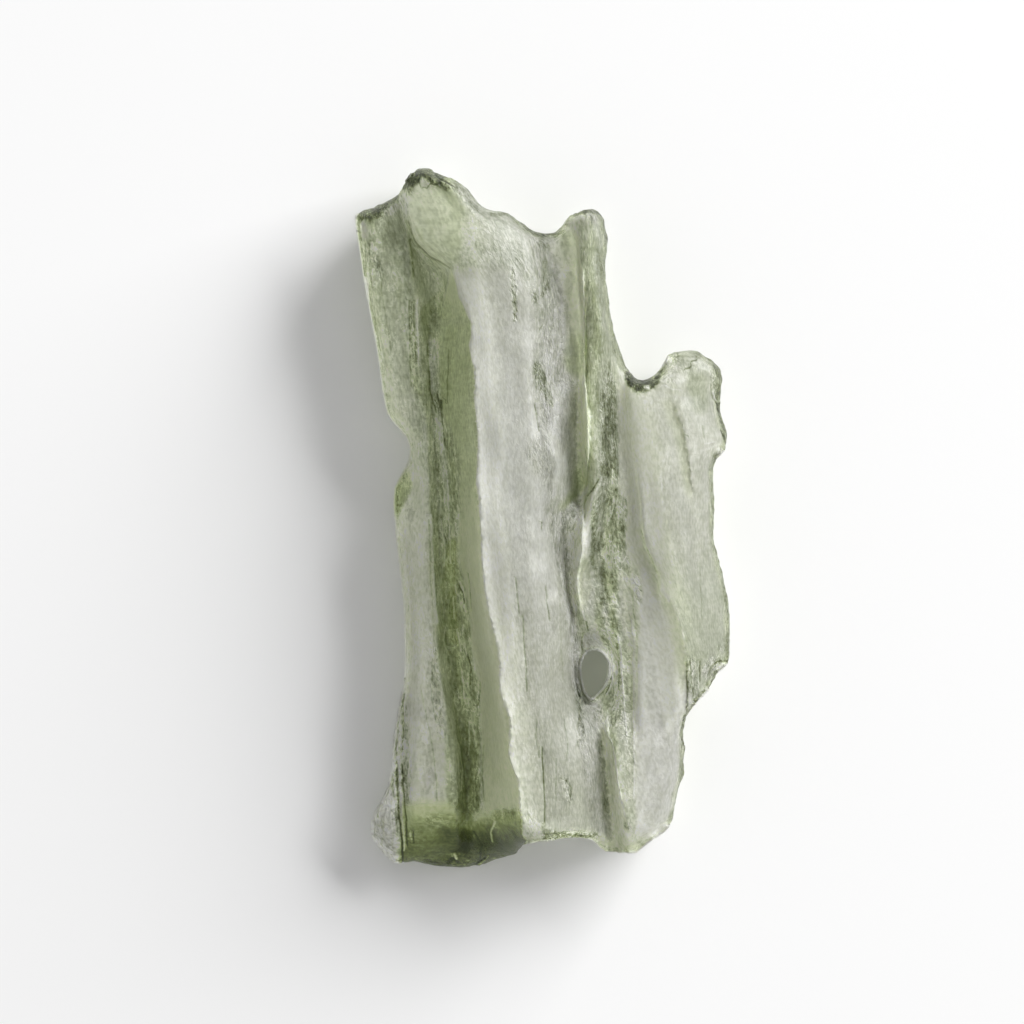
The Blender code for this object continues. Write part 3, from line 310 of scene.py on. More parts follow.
# The zones paint the front in this order: name, clearness, grain, tints from the top end to the
# lower end, softness of the left and right border, the two borders.
tintZones = [
    ("left plate", 0.15, 0.38, (0.64, 0.5, 0.26, 0.13, 0.12, 0.26), 4, 3, [(190, 330), (845, 330)],
     "plateRight"),
    ("plate, soft strip", 0, 0.5, (0.5, 0.55, 0.5, 0.48), 5, 2, [(218, 402), (300, 404), (400, 412),
     (470, 419)], [(218, 406), (300, 415), (400, 421), (470, 430)]),
    ("facet's shade", 0.3, 0.5, (0.62, 0.5, 0.46, 0.56), 2, 1, [(219, 405), (246, 408), (262, 410),
     (330, 412)], [(219, 407), (240, 414), (250, 422), (266, 446), (285, 447), (300, 444), (330, 440)]),
    ("groove, upper", 0.35, 0.9, (0.24, 0.46, 0.58, 0.61, 0.62, 0.65), 2, 2, [(300, 413), (330, 410),
     (380, 411), (400, 420), (430, 428), (500, 430), (545, 432)], "grooveRight"),
    ("groove, lower", 0.5, 0.95, (0.68, 0.67, 0.7, 0.86), 2.5, 2.5, [(540, 432), (560, 432), (620, 437),
     (660, 439), (700, 446), (740, 450), (780, 452), (815, 446)], "grooveRight"),
    ("groove's floor", 0.6, 0.8, (0.72, 0.78, 0.77, 0.86, 0.99, 1.05), 3, 3, [(560, 441), (600, 442),
     (640, 444), (700, 450), (745, 458), (800, 460), (830, 456)], [(560, 452), (640, 460), (700, 463),
     (745, 474), (830, 472)]),
    ("dark wedge", 0.5, 0.7, (0.46, 0.62, 0.68, 0.6), 1.5, 0.6, [(278, 446), (288, 442), (296, 434),
     (304, 428), (310, 420), (345, 424)], [(278, 448), (290, 446), (300, 444), (316, 441), (345, 438)]),
    ("pale strip in the groove", 0.1, 0.7, (0.46, 0.48, 0.46, 0.6), 1.5, 1.2, [(340, 428), (395, 431),
     (430, 438), (470, 441), (510, 446)], [(340, 436), (395, 438), (430, 444), (470, 448), (510, 450)]),
    ("beside the groove's floor", 0.4, 0.5, (0.5, 0.54, 0.62), 3, 3, [(650, 438), (700, 446),
     (800, 446)], [(650, 446), (700, 452), (760, 459), (812, 458)]),
    ("wall, top", 0.6, 0.3, (0.36, 0.4, 0.52), 1, 0.6, [(270, 449), (284, 448), (300, 444), (322, 440)],
     "centralLip"),
    ("wall", 0.6, 0.25, (0.56, 0.66, 0.6, 0.48, 0.29, 0.12, 0.06, 0.16, 0.24, 0.34), 1, 0.5, "wallLeft",
     "centralLip"),
    ("shade in the wall", 0.4, 0.9, (0.62, 0.7, 0.66, 0.6), 2, 2, [(425, 444), (440, 446), (480, 450),
     (512, 448)], [(425, 450), (440, 455), (460, 461), (480, 459), (512, 458)]),
    ("crest", 0.09, 0.22, (0.07, -0.1, -0.21, -0.1, 0.1, 0.21, 0.3), 0.5, 6, "centralLip",
     "crestRight"),
    ("facet", 0.2, 0.12, (0.44, 0.5, 0.56), 0.6, 5, [(186, 418), (200, 409), (218, 407), (225, 410),
     (240, 415), (246, 419), (255, 430), (262, 438), (269, 449)], [(186, 452), (200, 462), (225, 465),
     (262, 458), (269, 452)]),
    ("valley", 0, 0.6, (0.24, 0.2, 0.1, -0.04, -0.1, -0.1, -0.08), 5, 0.8, "valleyLeft", "secondLip"),
    ("foot of the second ridge", 0.3, 0.3, (0.34, 0.24, 0.28), 5, 0.7, [(232, 560), (300, 566),
     (345, 566), (380, 574)], [(232, 578), (262, 581), (295, 588), (345, 587), (380, 585)]),
    ("olive patch", 0.5, 0.3, (0.4, 0.52, 0.46), 4, 0.7, [(335, 570), (350, 565), (365, 564),
     (378, 574)], [(335, 587), (350, 588), (378, 585)]),
    ("olive run", 0.4, 0.7, (0.18, 0.26, 0.34, 0.46), 8, 0.6, [(380, 574), (410, 571), (440, 573),
     (470, 574), (482, 574)], [(380, 585), (395, 584), (425, 589), (470, 588), (482, 588)]),
    ("mottled ground", 0, 1, (0.2, 0.15, 0.1, 0.06, 0.04), 4, 1, "valleyLeft", [(500, 583), (560, 581),
     (575, 577), (640, 578), (690, 580)]),
    ("olive pocket", 0.6, 0.4, (0.4, 0.58, 0.62, 0.4), 6, 3, [(466, 576), (480, 574), (492, 570),
     (502, 562), (512, 556)], [(466, 588), (484, 588), (494, 580), (504, 570), (512, 560)]),
    ("second ridge", 0, 0.35, (0.5, 0.68, 0.72, 0.68, 0.6, 0.52), 0.6, 2, "secondLip", "ridgeRight"),
    ("right of the second ridge", 0.2, 0.4, (0.42, 0.44, 0.46), 2, 2, [(240, 603), (340, 603),
     (385, 603)], [(240, 612), (300, 616), (385, 629)]),
    ("speckled run", 0, 1, (0.66, 0.8, 0.72, 0.68), 1.5, 1.5, [(366, 604), (400, 602), (480, 600)],
     [(366, 611), (385, 615), (430, 618), (480, 620)]),
    ("green run", 0.2, 0.3, (0.08, 0.02, 0, 0.02, 0.02), 1.5, 0.6, [(372, 618), (430, 618), (480, 619),
     (520, 622), (556, 628), (572, 640)], "thirdLip"),
    ("tongue", 0, 0.9, (0.56, 0.66, 0.62, 0.52, 0.48, 0.42), 1, 3, [(481, 599), (490, 592), (500, 591),
     (556, 590), (580, 594), (650, 601), (700, 608), (730, 602)], [(481, 610), (500, 628), (545, 626),
     (580, 618), (620, 622), (690, 626), (730, 630)]),
    ("dark run in the tongue", 0.2, 1, (0.5, 0.62, 0.56, 0.62, 0.66, 0.6), 2, 1, [(505, 600),
     (530, 602), (560, 601), (605, 607), (645, 611), (660, 613)], [(505, 606), (530, 609), (560, 610),
     (605, 616), (645, 619), (660, 617)]),
    ("strip beside the lobe", 0.2, 0.7, (0.5, 0.52), 1.5, 1.5, [(556, 592), (640, 597)], [(556, 599),
     (640, 602)]),
    ("pale rib", 0, 0.3, (0.22, 0.12, 0.12, 0.2), 0.6, 1.2, [(484, 599), (494, 590), (503, 585),
     (514, 582), (558, 582)], [(484, 602), (494, 597), (503, 591), (558, 590)]),
    ("green lobe", 0.3, 0.3, (0.28, 0.32, 0.3), 1, 1.5, [(559, 582), (570, 577), (606, 580)],
     [(559, 589), (585, 592), (606, 588)]),
    ("slab", 0.05, 0.2, (0.2, 0.15, 0.14, 0.21, 0.38, 0.46, 0.4), 0.6, 3, "thirdLip", [(372, 760),
     (716, 760)]),
    # painted shade at the slab's step
    ("painted shade at the slab's step", 0.3, 0.2, (0.16, 0.26, 0.3, 0.26, 0.16), 4, 0.6, [(398, 660), (421, 668), (445, 677),
     (498, 686)], "stepEdge"),
    ("lower slab", 0.02, 0.2, (0.02, -0.02, -0.03, -0.02, -0.04, 0), 2.5, 0.8, [(556, 642), (600, 640),
     (660, 637), (730, 635), (838, 636)], [(556, 650), (576, 660), (606, 672), (640, 684), (690, 690),
     (730, 700), (838, 700)]),
    ("shade under the slab's edge", 0.2, 0.3, (0.34, 0.32, 0.24, 0.18), 5, 0.6, [(530, 636), (556, 642),
     (592, 653), (618, 668), (690, 680)], "thirdLip"),
    ("right of the hole", 0.1, 0.55, (0.22, 0.24, 0.3, 0.28), 2, 2, [(570, 620), (650, 623),
     (800, 626)], [(570, 634), (625, 640), (700, 635), (800, 634)]),
    ("lower end, middle", 0, 0.5, (0.2, 0.22, 0.26), 4, 2, [(700, 578), (740, 582), (838, 592)],
     [(700, 602), (800, 602), (838, 606)]),
    ("dark lobe", 0.3, 0.6, (0.12, 0.2, 0.18, 0.2), 1.5, 0.6, [(725, 600), (800, 602), (838, 608)],
     "lobeLip"),
    ("end of the dark lobe", 0.3, 0.4, (0.3, 0.3), 2, 2, [(836, 598), (852, 598)], [(836, 640),
     (852, 640)]),
    ("scoop", 0, 0.8, (0.02, -0.1, -0.1, 0), 1, 1, [(629, 589), (636, 584), (644, 583), (653, 584)],
     [(629, 594), (636, 600), (644, 603), (653, 606)]),
    ("left ridge", 0, 1.6, (0.46, 0.44, 0.46, 0.5), 0.6, 2.5, [(684, 398), (700, 390), (780, 385),
     (845, 398)], [(684, 404), (700, 405), (760, 411), (845, 413)]),
    ("notch", 0.6, 0.5, (0.42, 0.68, 0.72, 0.6), 0.6, 1, [(473, 402), (490, 390), (516, 390)],
     [(473, 411), (488, 412), (500, 405), (516, 399)]),
    ("bulb", 0, 1.2, (-0.12, -0.22, -0.26, -0.26, -0.2), 2, 0.6, [(786, 380), (800, 360), (868, 360)],
     [(786, 390), (800, 395), (868, 396)]),
    ("foot, left", 0.9, 0.3, (0.24, 0.5, 0.85, 1.05, 1.12, 1.15), 2, 4, [(802, 402), (830, 401),
     (872, 399)], [(802, 452), (826, 470), (872, 470)]),
    ("foot, middle", 1, 0.3, (0.8, 1.2, 1.24, 1.3), 8, 8, [(815, 440), (872, 438)], [(815, 476),
     (872, 470)]),
    ("foot, right", 1, 0.5, (0.45, 1.05, 1.45, 1.5, 1.5), 5, 1, [(812, 478), (835, 466), (872, 440)],
     [(812, 522), (872, 530)]),
    ("foot, under side", 1, 0.9, (1.2, 1.4), 3, 1, [(855, 424), (884, 424)], [(855, 530), (884, 530)]),
    # painted shade beside the foot
    ("painted shade beside the foot", 0, 0.6, (0.32, 0.4, 0.42), 1, 6, [(812, 521), (838, 523)],
     [(812, 532), (824, 546), (838, 560)]),
]

# Brushes: tint, grain, the stroke as (across, down, half width).
tintStrokes = [
    # left side, top
    (0.62, 0.6, [(364, 243, 4), (366, 255, 5), (370, 285, 4)]),
    (0.52, 1.4, [(370, 244, 3), (375, 255, 5), (379, 276, 4)]),
    (0.02, 0.4, [(364, 222, 3), (365, 236, 3)]),
    (-0.1, 0.3, [(366, 278, 1.5), (369, 302, 1.5)]),
    # rim and tip
    (1.25, 1.2, [(358, 216, 5), (375, 211, 7), (388, 206, 6)]),
    (1.2, 1, [(390, 203, 4), (398, 197, 5), (405, 189, 7), (410, 182, 7)]),
    (1.4, 1.2, [(411, 180, 7), (417, 174, 7), (428, 173, 7), (438, 179, 7), (447, 184, 6)]),
    (0.6, 1.5, [(447, 182, 5), (458, 187, 6), (469, 196, 6), (477, 206, 4)]),
    (0.2, 1.4, [(388, 212, 4), (398, 206, 4)]),
    (0.1, 0.9, [(423, 180, 3)]),
    # beside the facet
    (0.42, 1, [(401, 192, 4), (405, 205, 4), (407, 215, 3)]),
    # foot
    (0.72, 0.9, [(430, 822, 5), (450, 820, 6), (470, 826, 4)]),
    (0.7, 1.2, [(492, 816, 4), (505, 813, 4), (516, 816, 4)]),
    (0.42, 0.5, [(476, 816, 4), (488, 814, 4)]),
    # crest, top
    (0.3, 1.3, [(513, 270, 2), (514, 290, 2.5), (515, 322, 2)]),
    (0.45, 1.2, [(517, 258, 2)]),
    # valley
    (0.8, 1.3, [(492, 213, 2), (512, 214, 2.5), (526, 227, 3), (536, 233, 4), (562, 234, 3)]),
    (0.22, 1.4, [(536, 240, 5), (544, 246, 4)]),
    (0.5, 0.7, [(545, 262, 3), (546, 286, 4)]),
    (0.46, 1.6, [(546, 288, 4), (536, 298, 4)]),
    (0.12, 0.7, [(556, 372, 5), (554, 395, 5)]),
    (0.62, 1.3, [(537, 366, 4), (543, 385, 6), (550, 402, 4)]),
    # pale tongue
    (-0.05, 0.5, [(540, 452, 14), (546, 475, 10), (552, 492, 4)]),
    # knob
    (1.1, 0.9, [(566, 224, 2), (572, 214, 3), (586, 209, 4), (598, 209, 4), (604, 220, 3),
     (608, 242, 2)]),
    (0.25, 1.2, [(592, 218, 4), (600, 220, 3)]),
    (0.22, 0.4, [(568, 221, 5), (580, 217, 3)]),
    # corner between the ridges
    (1.5, 1.4, [(627, 374, 3), (633, 382, 6), (641, 386, 7), (650, 383, 5)]),
    (1.2, 1.3, [(655, 382, 3), (660, 372, 3)]),
    (0, 1, [(647, 387, 3)]),
    # shoulder and right edge
    (0.14, 0.6, [(672, 362, 7), (668, 380, 7)]),
    (0.46, 0.25, [(696, 378, 9), (700, 405, 9)]),
    (0.66, 1.3, [(715, 368, 4), (717, 385, 5.5), (719, 400, 4), (720, 412, 2), (724, 428, 3),
     (727, 442, 3)]),
    (0.3, 0.3, [(712, 455, 5), (714, 500, 5), (720, 560, 6)]),
    # right of the hole, left of it and under it
    (0.48, 0.7, [(627, 640, 4), (628, 690, 4), (628, 735, 4)]),
    (0.56, 1.2, [(614, 600, 3), (616, 640, 3), (614, 665, 2)]),
    (0.12, 1.4, [(606, 606, 3), (607, 624, 3)]),
    (0.34, 1.3, [(578, 690, 3), (581, 715, 3), (580, 745, 3)]),
    (0.28, 1.2, [(598, 712, 5), (606, 722, 4)]),
    # lower end
    (0.36, 1, [(566, 782, 4), (570, 800, 3)]),
    (0.42, 1.2, [(600, 740, 3), (604, 775, 3), (606, 815, 3)]),
    (0.7, 1.4, [(545, 836, 3), (570, 834, 3), (596, 834, 2)]),
    (0.3, 1.3, [(628, 826, 4)]),
    # broken corner and lower right rim
    (0.46, 1.4, [(690, 662, 5), (694, 690, 5)]),
    (0.28, 1.4, [(706, 672, 5), (714, 660, 5), (724, 668, 3)]),
    (0.5, 1, [(722, 648, 4)]),
    (0.5, 1.5, [(686, 716, 3), (684, 750, 3), (682, 782, 4)]),
    (0.42, 1.4, [(674, 812, 3), (670, 824, 3)]),
    # groove, third lip and tongue
    (0.28, 1.4, [(434, 648, 3), (436, 690, 4), (441, 735, 4)]),
    (0.18, 1.3, [(637, 580, 4), (638, 600, 4)]),
    (0.42, 0.9, [(622, 560, 5), (626, 575, 5)]),
]

# Brushes for clear glass, on the shoulder and the groove's floor: clearness, the stroke.
clearStrokes = [
    (0.15, [(698, 385, 14)]),
    (0.9, [(452, 545, 5), (448, 585, 7), (452, 640, 6)]),
]

# Fine lines: strength (above zero a dark cut, below zero a raised line painted bright, a
# painted highlight), half width, the line as (across, down).
fineLines = [
    # crest and valley
    (0.5, 0.8, [(512, 272), (513, 290), (515, 305), (514, 320)]),
    (0.8, 0.8, [(516, 577), (517, 590), (519, 615)]),
    (0.7, 0.9, [(523, 615), (524, 640), (526, 665), (527, 690)]),
    (0.9, 0.7, [(546, 586), (547, 600), (550, 620)]),
    (1, 0.8, [(542, 748), (543, 770), (545, 795), (545, 822)]),
    (0.5, 0.7, [(537, 722), (536, 738), (539, 756)]),
    (1, 0.8, [(535, 404), (537, 415), (539, 430)]),
    (0.9, 0.8, [(599, 480), (593, 488), (588, 495)]),
    (1.2, 1, [(542, 522), (542, 530)]),
    # plate and facet
    (0.6, 0.8, [(409, 300), (410, 350), (411, 385)]),
    (0.6, 1.2, [(410, 240), (412, 258), (414, 276)]),
    (0.4, 0.8, [(379, 270), (383, 300), (391, 350)]),
    (0.6, 0.8, [(408, 222), (414, 240), (420, 247), (430, 257), (440, 262), (449, 268)]),
    (0.5, 0.8, [(421, 690), (427, 720), (432, 745), (436, 775), (437, 800)]),
    (0.5, 0.7, [(432, 672), (432, 700), (436, 722)]),
    # groove and wall
    (-1, 0.8, [(417, 300), (417, 322), (418, 345), (419, 365)]),
    (0.7, 0.9, [(414, 300), (414, 335), (416, 360)]),
    (-1, 0.9, [(431, 515), (431, 540), (433, 570), (434, 595), (437, 622)]),
    (0.5, 0.8, [(429, 520), (430, 560), (432, 600), (434, 640)]),
    (0.8, 1, [(428, 345), (430, 390), (436, 412)]),
    (0.7, 1, [(437, 395), (441, 410), (443, 428), (445, 445)]),
    (0.9, 1.4, [(441, 400), (441, 408)]),
    (0.5, 0.8, [(448, 350), (448, 375), (447, 402)]),
    # hairs in the groove, the bright ones painted highlights
    (-0.8, 0.7, [(448, 480), (449, 510), (450, 545), (451, 562)]),
    (-0.7, 0.7, [(441, 520), (445, 545), (444, 565)]),
    (-0.9, 0.9, [(461, 583), (464, 592), (466, 600)]),
    (0.9, 0.9, [(459, 586), (462, 594), (464, 602)]),
    (-0.8, 0.7, [(455, 586), (456, 592), (459, 596)]),
    (-0.7, 0.7, [(453, 598), (454, 608), (454, 618)]),
    (-0.8, 0.8, [(464, 604), (466, 612)]),
    (-0.8, 0.9, [(463, 626), (463, 633)]),
    (-0.9, 0.8, [(457, 630), (460, 641), (461, 651)]),
    (-0.8, 0.7, [(465, 644), (467, 654)]),
    (-0.7, 0.7, [(462, 672), (464, 686), (464, 698)]),
    (-0.8, 0.7, [(458, 690), (459, 698)]),
    (-0.7, 0.7, [(469, 722), (470, 740), (468, 755)]),
    (-0.6, 0.7, [(459, 745), (462, 770), (461, 790)]),
    (-0.7, 0.7, [(445, 628), (443, 640), (446, 652)]),
    (0.7, 0.9, [(468, 574), (470, 590), (471, 610)]),
    (0.8, 1, [(468, 655), (471, 668), (470, 684)]),
    # lower wall
    (0.7, 0.9, [(480, 682), (480, 695), (478, 705)]),
    (0.5, 0.8, [(484, 745), (482, 775), (484, 800)]),
    # left ridge
    (1, 0.9, [(396, 762), (397, 790), (399, 815), (402, 845), (403, 862)]),
    (-1.2, 0.9, [(399, 758), (400, 790), (402, 815), (404, 840), (404, 850)]),
    (1, 0.9, [(402, 765), (403, 790), (406, 820), (407, 845)]),
    (-0.9, 0.8, [(394, 745), (394, 770), (395, 795)]),
    (-0.8, 0.8, [(399, 705), (400, 730), (398, 750)]),
    (0.8, 0.8, [(402, 700), (403, 730), (402, 752)]),
    # bulb
    (0.6, 0.7, [(376, 812), (383, 822), (384, 835), (381, 845)]),
    (0.8, 1, [(378, 825), (381, 827)]),
    (0.7, 1, [(376, 814), (378, 817)]),
    (0.5, 0.7, [(391, 800), (393, 825), (392, 850)]),
    # round the hole and below it
    (-1, 0.8, [(618, 636), (621, 650), (622, 675), (624, 700), (627, 735)]),
    (0.6, 0.9, [(616, 636), (618, 655), (619, 690)]),
    (-0.7, 0.7, [(631, 618), (634, 640), (634, 680), (634, 740), (634, 800)]),
    (0.4, 0.8, [(632, 590), (634, 612), (637, 640), (637, 700)]),
    (-0.8, 0.8, [(604, 728), (612, 742), (616, 762), (620, 795), (625, 815)]),
    (0.7, 0.7, [(606, 655), (610, 667), (611, 682), (606, 692)]),
    (-1, 0.8, [(611, 655), (613, 668), (613, 684), (607, 694)]),
    (0.6, 0.8, [(583, 634), (581, 645), (584, 655)]),
    # slab and third lip
    (0.35, 0.8, [(700, 565), (701, 590), (702, 620)]),
    (0.5, 0.9, [(641, 530), (645, 545), (652, 560), (657, 572)]),
    # shoulder
    (1, 1, [(685, 369), (689, 368), (692, 366)]),
    (1, 0.9, [(692, 361), (697, 360)]),
    (0.7, 0.8, [(672, 354), (673, 362)]),
    (0.6, 0.8, [(677, 352), (678, 360)]),
    (0.9, 1, [(696, 353), (703, 355), (709, 360)]),
    (-0.6, 0.7, [(664, 385), (672, 389), (680, 390)]),
    (0.7, 0.8, [(711, 385), (712, 398), (717, 404), (719, 416)]),
    (-0.9, 0.8, [(712, 392), (714, 399), (718, 402)]),
    (1, 0.9, [(721, 430), (724, 437), (727, 447)]),
    # step and slab
    (0.7, 0.8, [(686, 435), (688, 436)]),
    (0.5, 0.8, [(703, 425), (704, 437)]),
    (-0.5, 0.7, [(705, 444), (714, 442)]),
    # broken corner
    (1, 0.8, [(726, 661), (718, 662), (711, 667), (708, 674)]),
    (0.9, 0.8, [(724, 672), (716, 675), (713, 684), (709, 692), (702, 698)]),
    (0.9, 0.8, [(709, 694), (700, 699), (695, 706), (690, 714)]),
    (-1, 0.8, [(721, 666), (713, 670), (710, 680), (706, 688)]),
    (0.8, 0.9, [(690, 660), (692, 690)]),
    (0.9, 0.8, [(700, 662), (700, 682)]),
    (0.8, 0.9, [(687, 672), (688, 700), (686, 718)]),
    # lower right edge
    (0.9, 0.8, [(684, 716), (681, 735), (685, 752), (682, 770)]),
    (-0.8, 0.7, [(683, 722), (684, 740), (682, 758)]),
    (0.8, 0.8, [(686, 760), (684, 778), (678, 790)]),
    # foot, with painted glints on its lumps
    (-1.2, 1, [(495, 822), (491, 833), (493, 841)]),
    (-1.2, 1.6, [(454, 854), (456, 858)]),
    (1, 1.6, [(448, 862), (453, 858), (458, 862)]),
    (-0.9, 0.8, [(478, 866), (485, 860), (488, 856)]),
    (0.9, 1, [(470, 868), (478, 862), (486, 858)]),
    (0.7, 0.9, [(474, 832), (482, 845), (480, 858)]),
    (-0.8, 0.8, [(410, 833), (412, 839)]),
    (0.8, 0.8, [(413, 832), (414, 842)]),
    # low end of the crest
    (0.35, 0.9, [(560, 600), (561, 640), (563, 680)]),
    (0.5, 0.8, [(564, 720), (568, 740), (567, 760)]),
    (0.4, 0.8, [(556, 760), (556, 800)]),
    (0.5, 0.8, [(560, 778), (567, 781), (572, 788), (571, 796)]),
    # tongue and valley
    (0.9, 1, [(586, 622), (588, 630)]),
    (0.6, 0.9, [(543, 325), (539, 332)]),
    # tip
    (1, 0.8, [(434, 172), (440, 179), (448, 183), (458, 188)]),
    (0.8, 0.7, [(420, 174), (419, 181), (421, 187), (427, 188), (430, 184)]),
]

# Where one sheet of glass stands over the next: height in mm, how much lower the sheet is
# further in, the edge.
sheetLips = [
    (0.12, 0.24, "centralLip"),
    (0.04, 0, "secondLip"),
    (0.1, 0, "thirdLip"),
    (0.07, 0, "stepEdge"),
    (0.1, 0, "lobeLip"),
    # tongue's edge
    (0.1, 0, [(482, 600), (490, 594), (500, 587), (514, 582), (556, 581), (568, 577)]),
    # facet's edge
    (0.12, 0, [(214, 406), (225, 410), (240, 415), (247, 420), (257, 430), (262, 440), (267, 449)]),
    # wedge's edge
    (0.08, 0, [(272, 449), (280, 448), (290, 446), (300, 444), (316, 441), (340, 438)]),
]

# Hollows that are filled a little: heights in mm from the top end to the lower end, softness
# of the left and right border, the two borders.
shallows = [
    # valley
    ((0, 0.45, 0.75, 0.8, 0.85, 0.35, 0), 16, 1.5, [(240, 544), (400, 550), (480, 556), (560, 552),
     (640, 560)], [(240, 580), (280, 584), (325, 585), (375, 585), (425, 589), (470, 588), (500, 584),
     (560, 582), (640, 580)]),
    # beside the lobe
    ((0, 0.4, 0.4, 0), 12, 3, [(690, 586), (760, 592), (850, 596)], [(690, 604), (745, 611), (800, 620),
     (850, 628)]),
]

# Stretches of the rim that stay pale, with less painted dark outline: share, the stroke as
# (across, down, half width).
paleRims = [
    # right of the tip
    (0.85, [(464, 192, 8), (478, 205, 10), (505, 214, 9)]),
    # shoulder's top
    (0.5, [(660, 360, 9), (690, 352, 9)]),
]

lightLook = {
    "key": {"azimuth": 38.0, "elevation": 17.0, "distance": 1.2, "size": 0.95, "power": 35.4},
    "sky": 0.46,
}


def directionOf(light):
    a, e = math.radians(light["azimuth"]), math.radians(light["elevation"])
    return Vector((math.cos(a) * math.cos(e), math.sin(a) * math.cos(e), math.sin(e)))


stoneLook = {
    # tints, from milky white below 0 to nearly black above 1
    "colours": [(-0.3, (0.97, 0.97, 0.94)), (0.0, (0.89, 0.89, 0.83)), (0.2, (0.78, 0.79, 0.69)),
                (0.4, (0.65, 0.68, 0.55)), (0.6, (0.49, 0.53, 0.38)), (0.8, (0.34, 0.38, 0.22)),
                (1.0, (0.20, 0.23, 0.11)), (1.3, (0.08, 0.095, 0.04)), (1.6, (0.03, 0.04, 0.015))],
    "clearTint": (0.93, 1.0, 0.66),
    "absorption": (0.60, 0.66, 0.42), "density": 60.0,
    "roughness": 0.40, "clearRoughness": 0.22, "transmission": 0.5, "ior": 1.49, "specular": 0.3,
    "cloudiness": 0.35, "cloudDepth": 0.7, "cloudRadius": (1.0, 1.0, 0.8),
    # where no zone lies: the sides, their slopes that face left and away from the lamp, painted
    # darker as shade, and the underside
    "plainTint": 0.36, "leftSlopeShade": 0.25, "plainGrain": 0.4, "underTint": 0.30,
    # the rim: height of its lip, how far in it reaches, and along the band that faces the lamp,
    # broken glass painted darker as shade: the tint it adds, its clearness and its grain
    "rimLip": 0.09, "rimReach": 0.35, "rimShade": 0.2, "rimClear": 0.5, "rimGrain": 1.4,
    # the hole's walls are painted white: painted light that lifts the dark hole
    "paintedHoleLight": -0.3,
    # how far the lamp's light on a slope is evened out by painted light and shade, towards the
    # lamp, away from it, and its limits
    "evenLit": 0.9, "evenShade": 0.7, "evenLimits": (0.4, 1.4),
    "meshSizes": {"first": 0.3, "back": 0.5, "front": 0.28, "grainy": 0.205, "rim": 0.125,
                  "lip": 0.07, "line": 0.09},
    # from which grain on the mesh is finer, and how near the rim, a line and a lip
    "finer": {"grain": 0.65, "rim": 0.2, "line": 1.6, "lip": 0.08},
    "lineDepth": 0.04, "sharpAngle": 55.0,
    # the step of a lip, how far it stays raised, where a drop behind it ends, the dip before it
    "lips": {"step": 0.04, "reach": 0.5, "end": (2.6, 1.0), "dip": 0.6, "dipReach": 0.35},
    # in the camera's view: the hole, and the foot, whose rim has no painted bright line and less
    # painted dark outline
    "hole": {"across": 596.0, "down": 676.0, "slimness": 0.8, "outer": 44.0, "inner": 36.0},
    "foot": {"top": (815.0, 825.0), "left": (398.0, 404.0), "right": (530.0, 522.0), "pale": 0.6},
    # noises: amount, waves per mm across, along and up, seed; they move borders, fine lines and
    # the broken rim, change tints in patches, and the last three are relief
    "noises": {
        "wanderAcross": [(0.7, (2.2, 1.2, 2.2), 5.0)], "wanderDown": [(2.2, (2.5, 1.5, 2.5), 19.0)],
        "lineWaver": [(0.6, (2.2, 1.2, 2.2), 5.0), (0.7, (5.0, 2.5, 5.0), 8.0)],
        "patches": [(0.05, (0.9, 0.5, 0.9), 60.0), (0.03, (0.7, 2.0, 0.7), 80.0)],
        "sidePatches": [(0.12, (0.8, 0.2, 0.8), 31.0)],
        "underPatches": [(0.10, (0.8, 0.3, 0.8), 25.0)],
        "rimWaver": [(0.08, (2.0, 2.0, 2.0), 7.0)],
        "ground": [(0.010, (1.1, 0.7, 1.1), 0.0)],
        "grain": [(0.010, (3.0, 0.5, 3.0), 50.0), (0.030, (2.0, 1.0, 2.0), 70.0),
                  (0.022, (4.0, 2.4, 4.0), 90.0)],
        "rim": [(0.05, (1.6, 1.6, 1.6), 110.0), (0.03, (4.0, 4.0, 4.0), 130.0)],
    },
    # the fine pattern in the glass
    "pattern": {
        # waves per mm across, along and up, detail, roughness, distortion
        "noises": {
            "mottle": ((2.2, 0.8, 2.2), 3.0, 0.55, 0.0), "streak": ((4.2, 0.4, 4.2), 2.0, 0.55, 0.0),
            "hair": ((8.5, 1.2, 8.5), 1.0, 0.5, 0.0), "worm": ((8.5, 4.2, 8.5), 1.0, 0.5, 0.8),
            "fine": ((11.0, 4.0, 11.0), 0.0, 0.5, 0.0), "ripple": ((1.6, 7.0, 1.6), 1.0, 0.5, 0.3),
            "crinkle": ((5.5, 4.5, 5.5), 1.0, 0.5, 1.5),
        },
        "narrow": (0.36, 0.64), "wide": (0.35, 0.65),  # a noise's usual range
        # level and half width of the lines in a noise, and where the mottling lets them show
        "glintAt": (0.57, 0.07), "crackAt": (0.43, 0.07), "crinkleAt": (0.50, 0.035),
        "glintWhere": (0.44, 0.54, 1.0, 0.0), "crackWhere": (0.46, 0.56, 0.0, 1.0),
        # how much each darkens the glass, or lightens it where below zero
        "hair": 0.09, "streak": 0.10, "mottle": 0.07, "glint": -0.65, "crack": 0.34, "ripple": 0.05,
        "fine": (0.10, 0.26), "line": 0.8, "innerLine": 0.35,
        # strength of the flecks: where there is no grain, what grain adds, and up to which grain
        "plain": 0.12, "perGrain": 1.6, "mostGrain": 1.1,
        "clearDull": 0.45,  # how much weaker all this is in clear glass
        "toTint": 0.5, "grey": (1.22, 0.5),  # flecks shift the tint, and the rest of them is grey
        # tints of the rim: a painted dark outline, painted glints in its crinkles, a painted highlight
        "darkRim": 1.2, "paleCrinkle": -0.1, "rimHighlightTint": -0.3,  # tints
        "brightest": 0.96,  # the most green that the painted evening out of the light may give
        # bump in mm: the bright rim's edge, worm-like pits, hairs; power and most of the grain
        "edge": 0.06, "pits": 0.018, "hairs": 0.006, "power": 1.5, "mostRough": 1.2,
    },
}


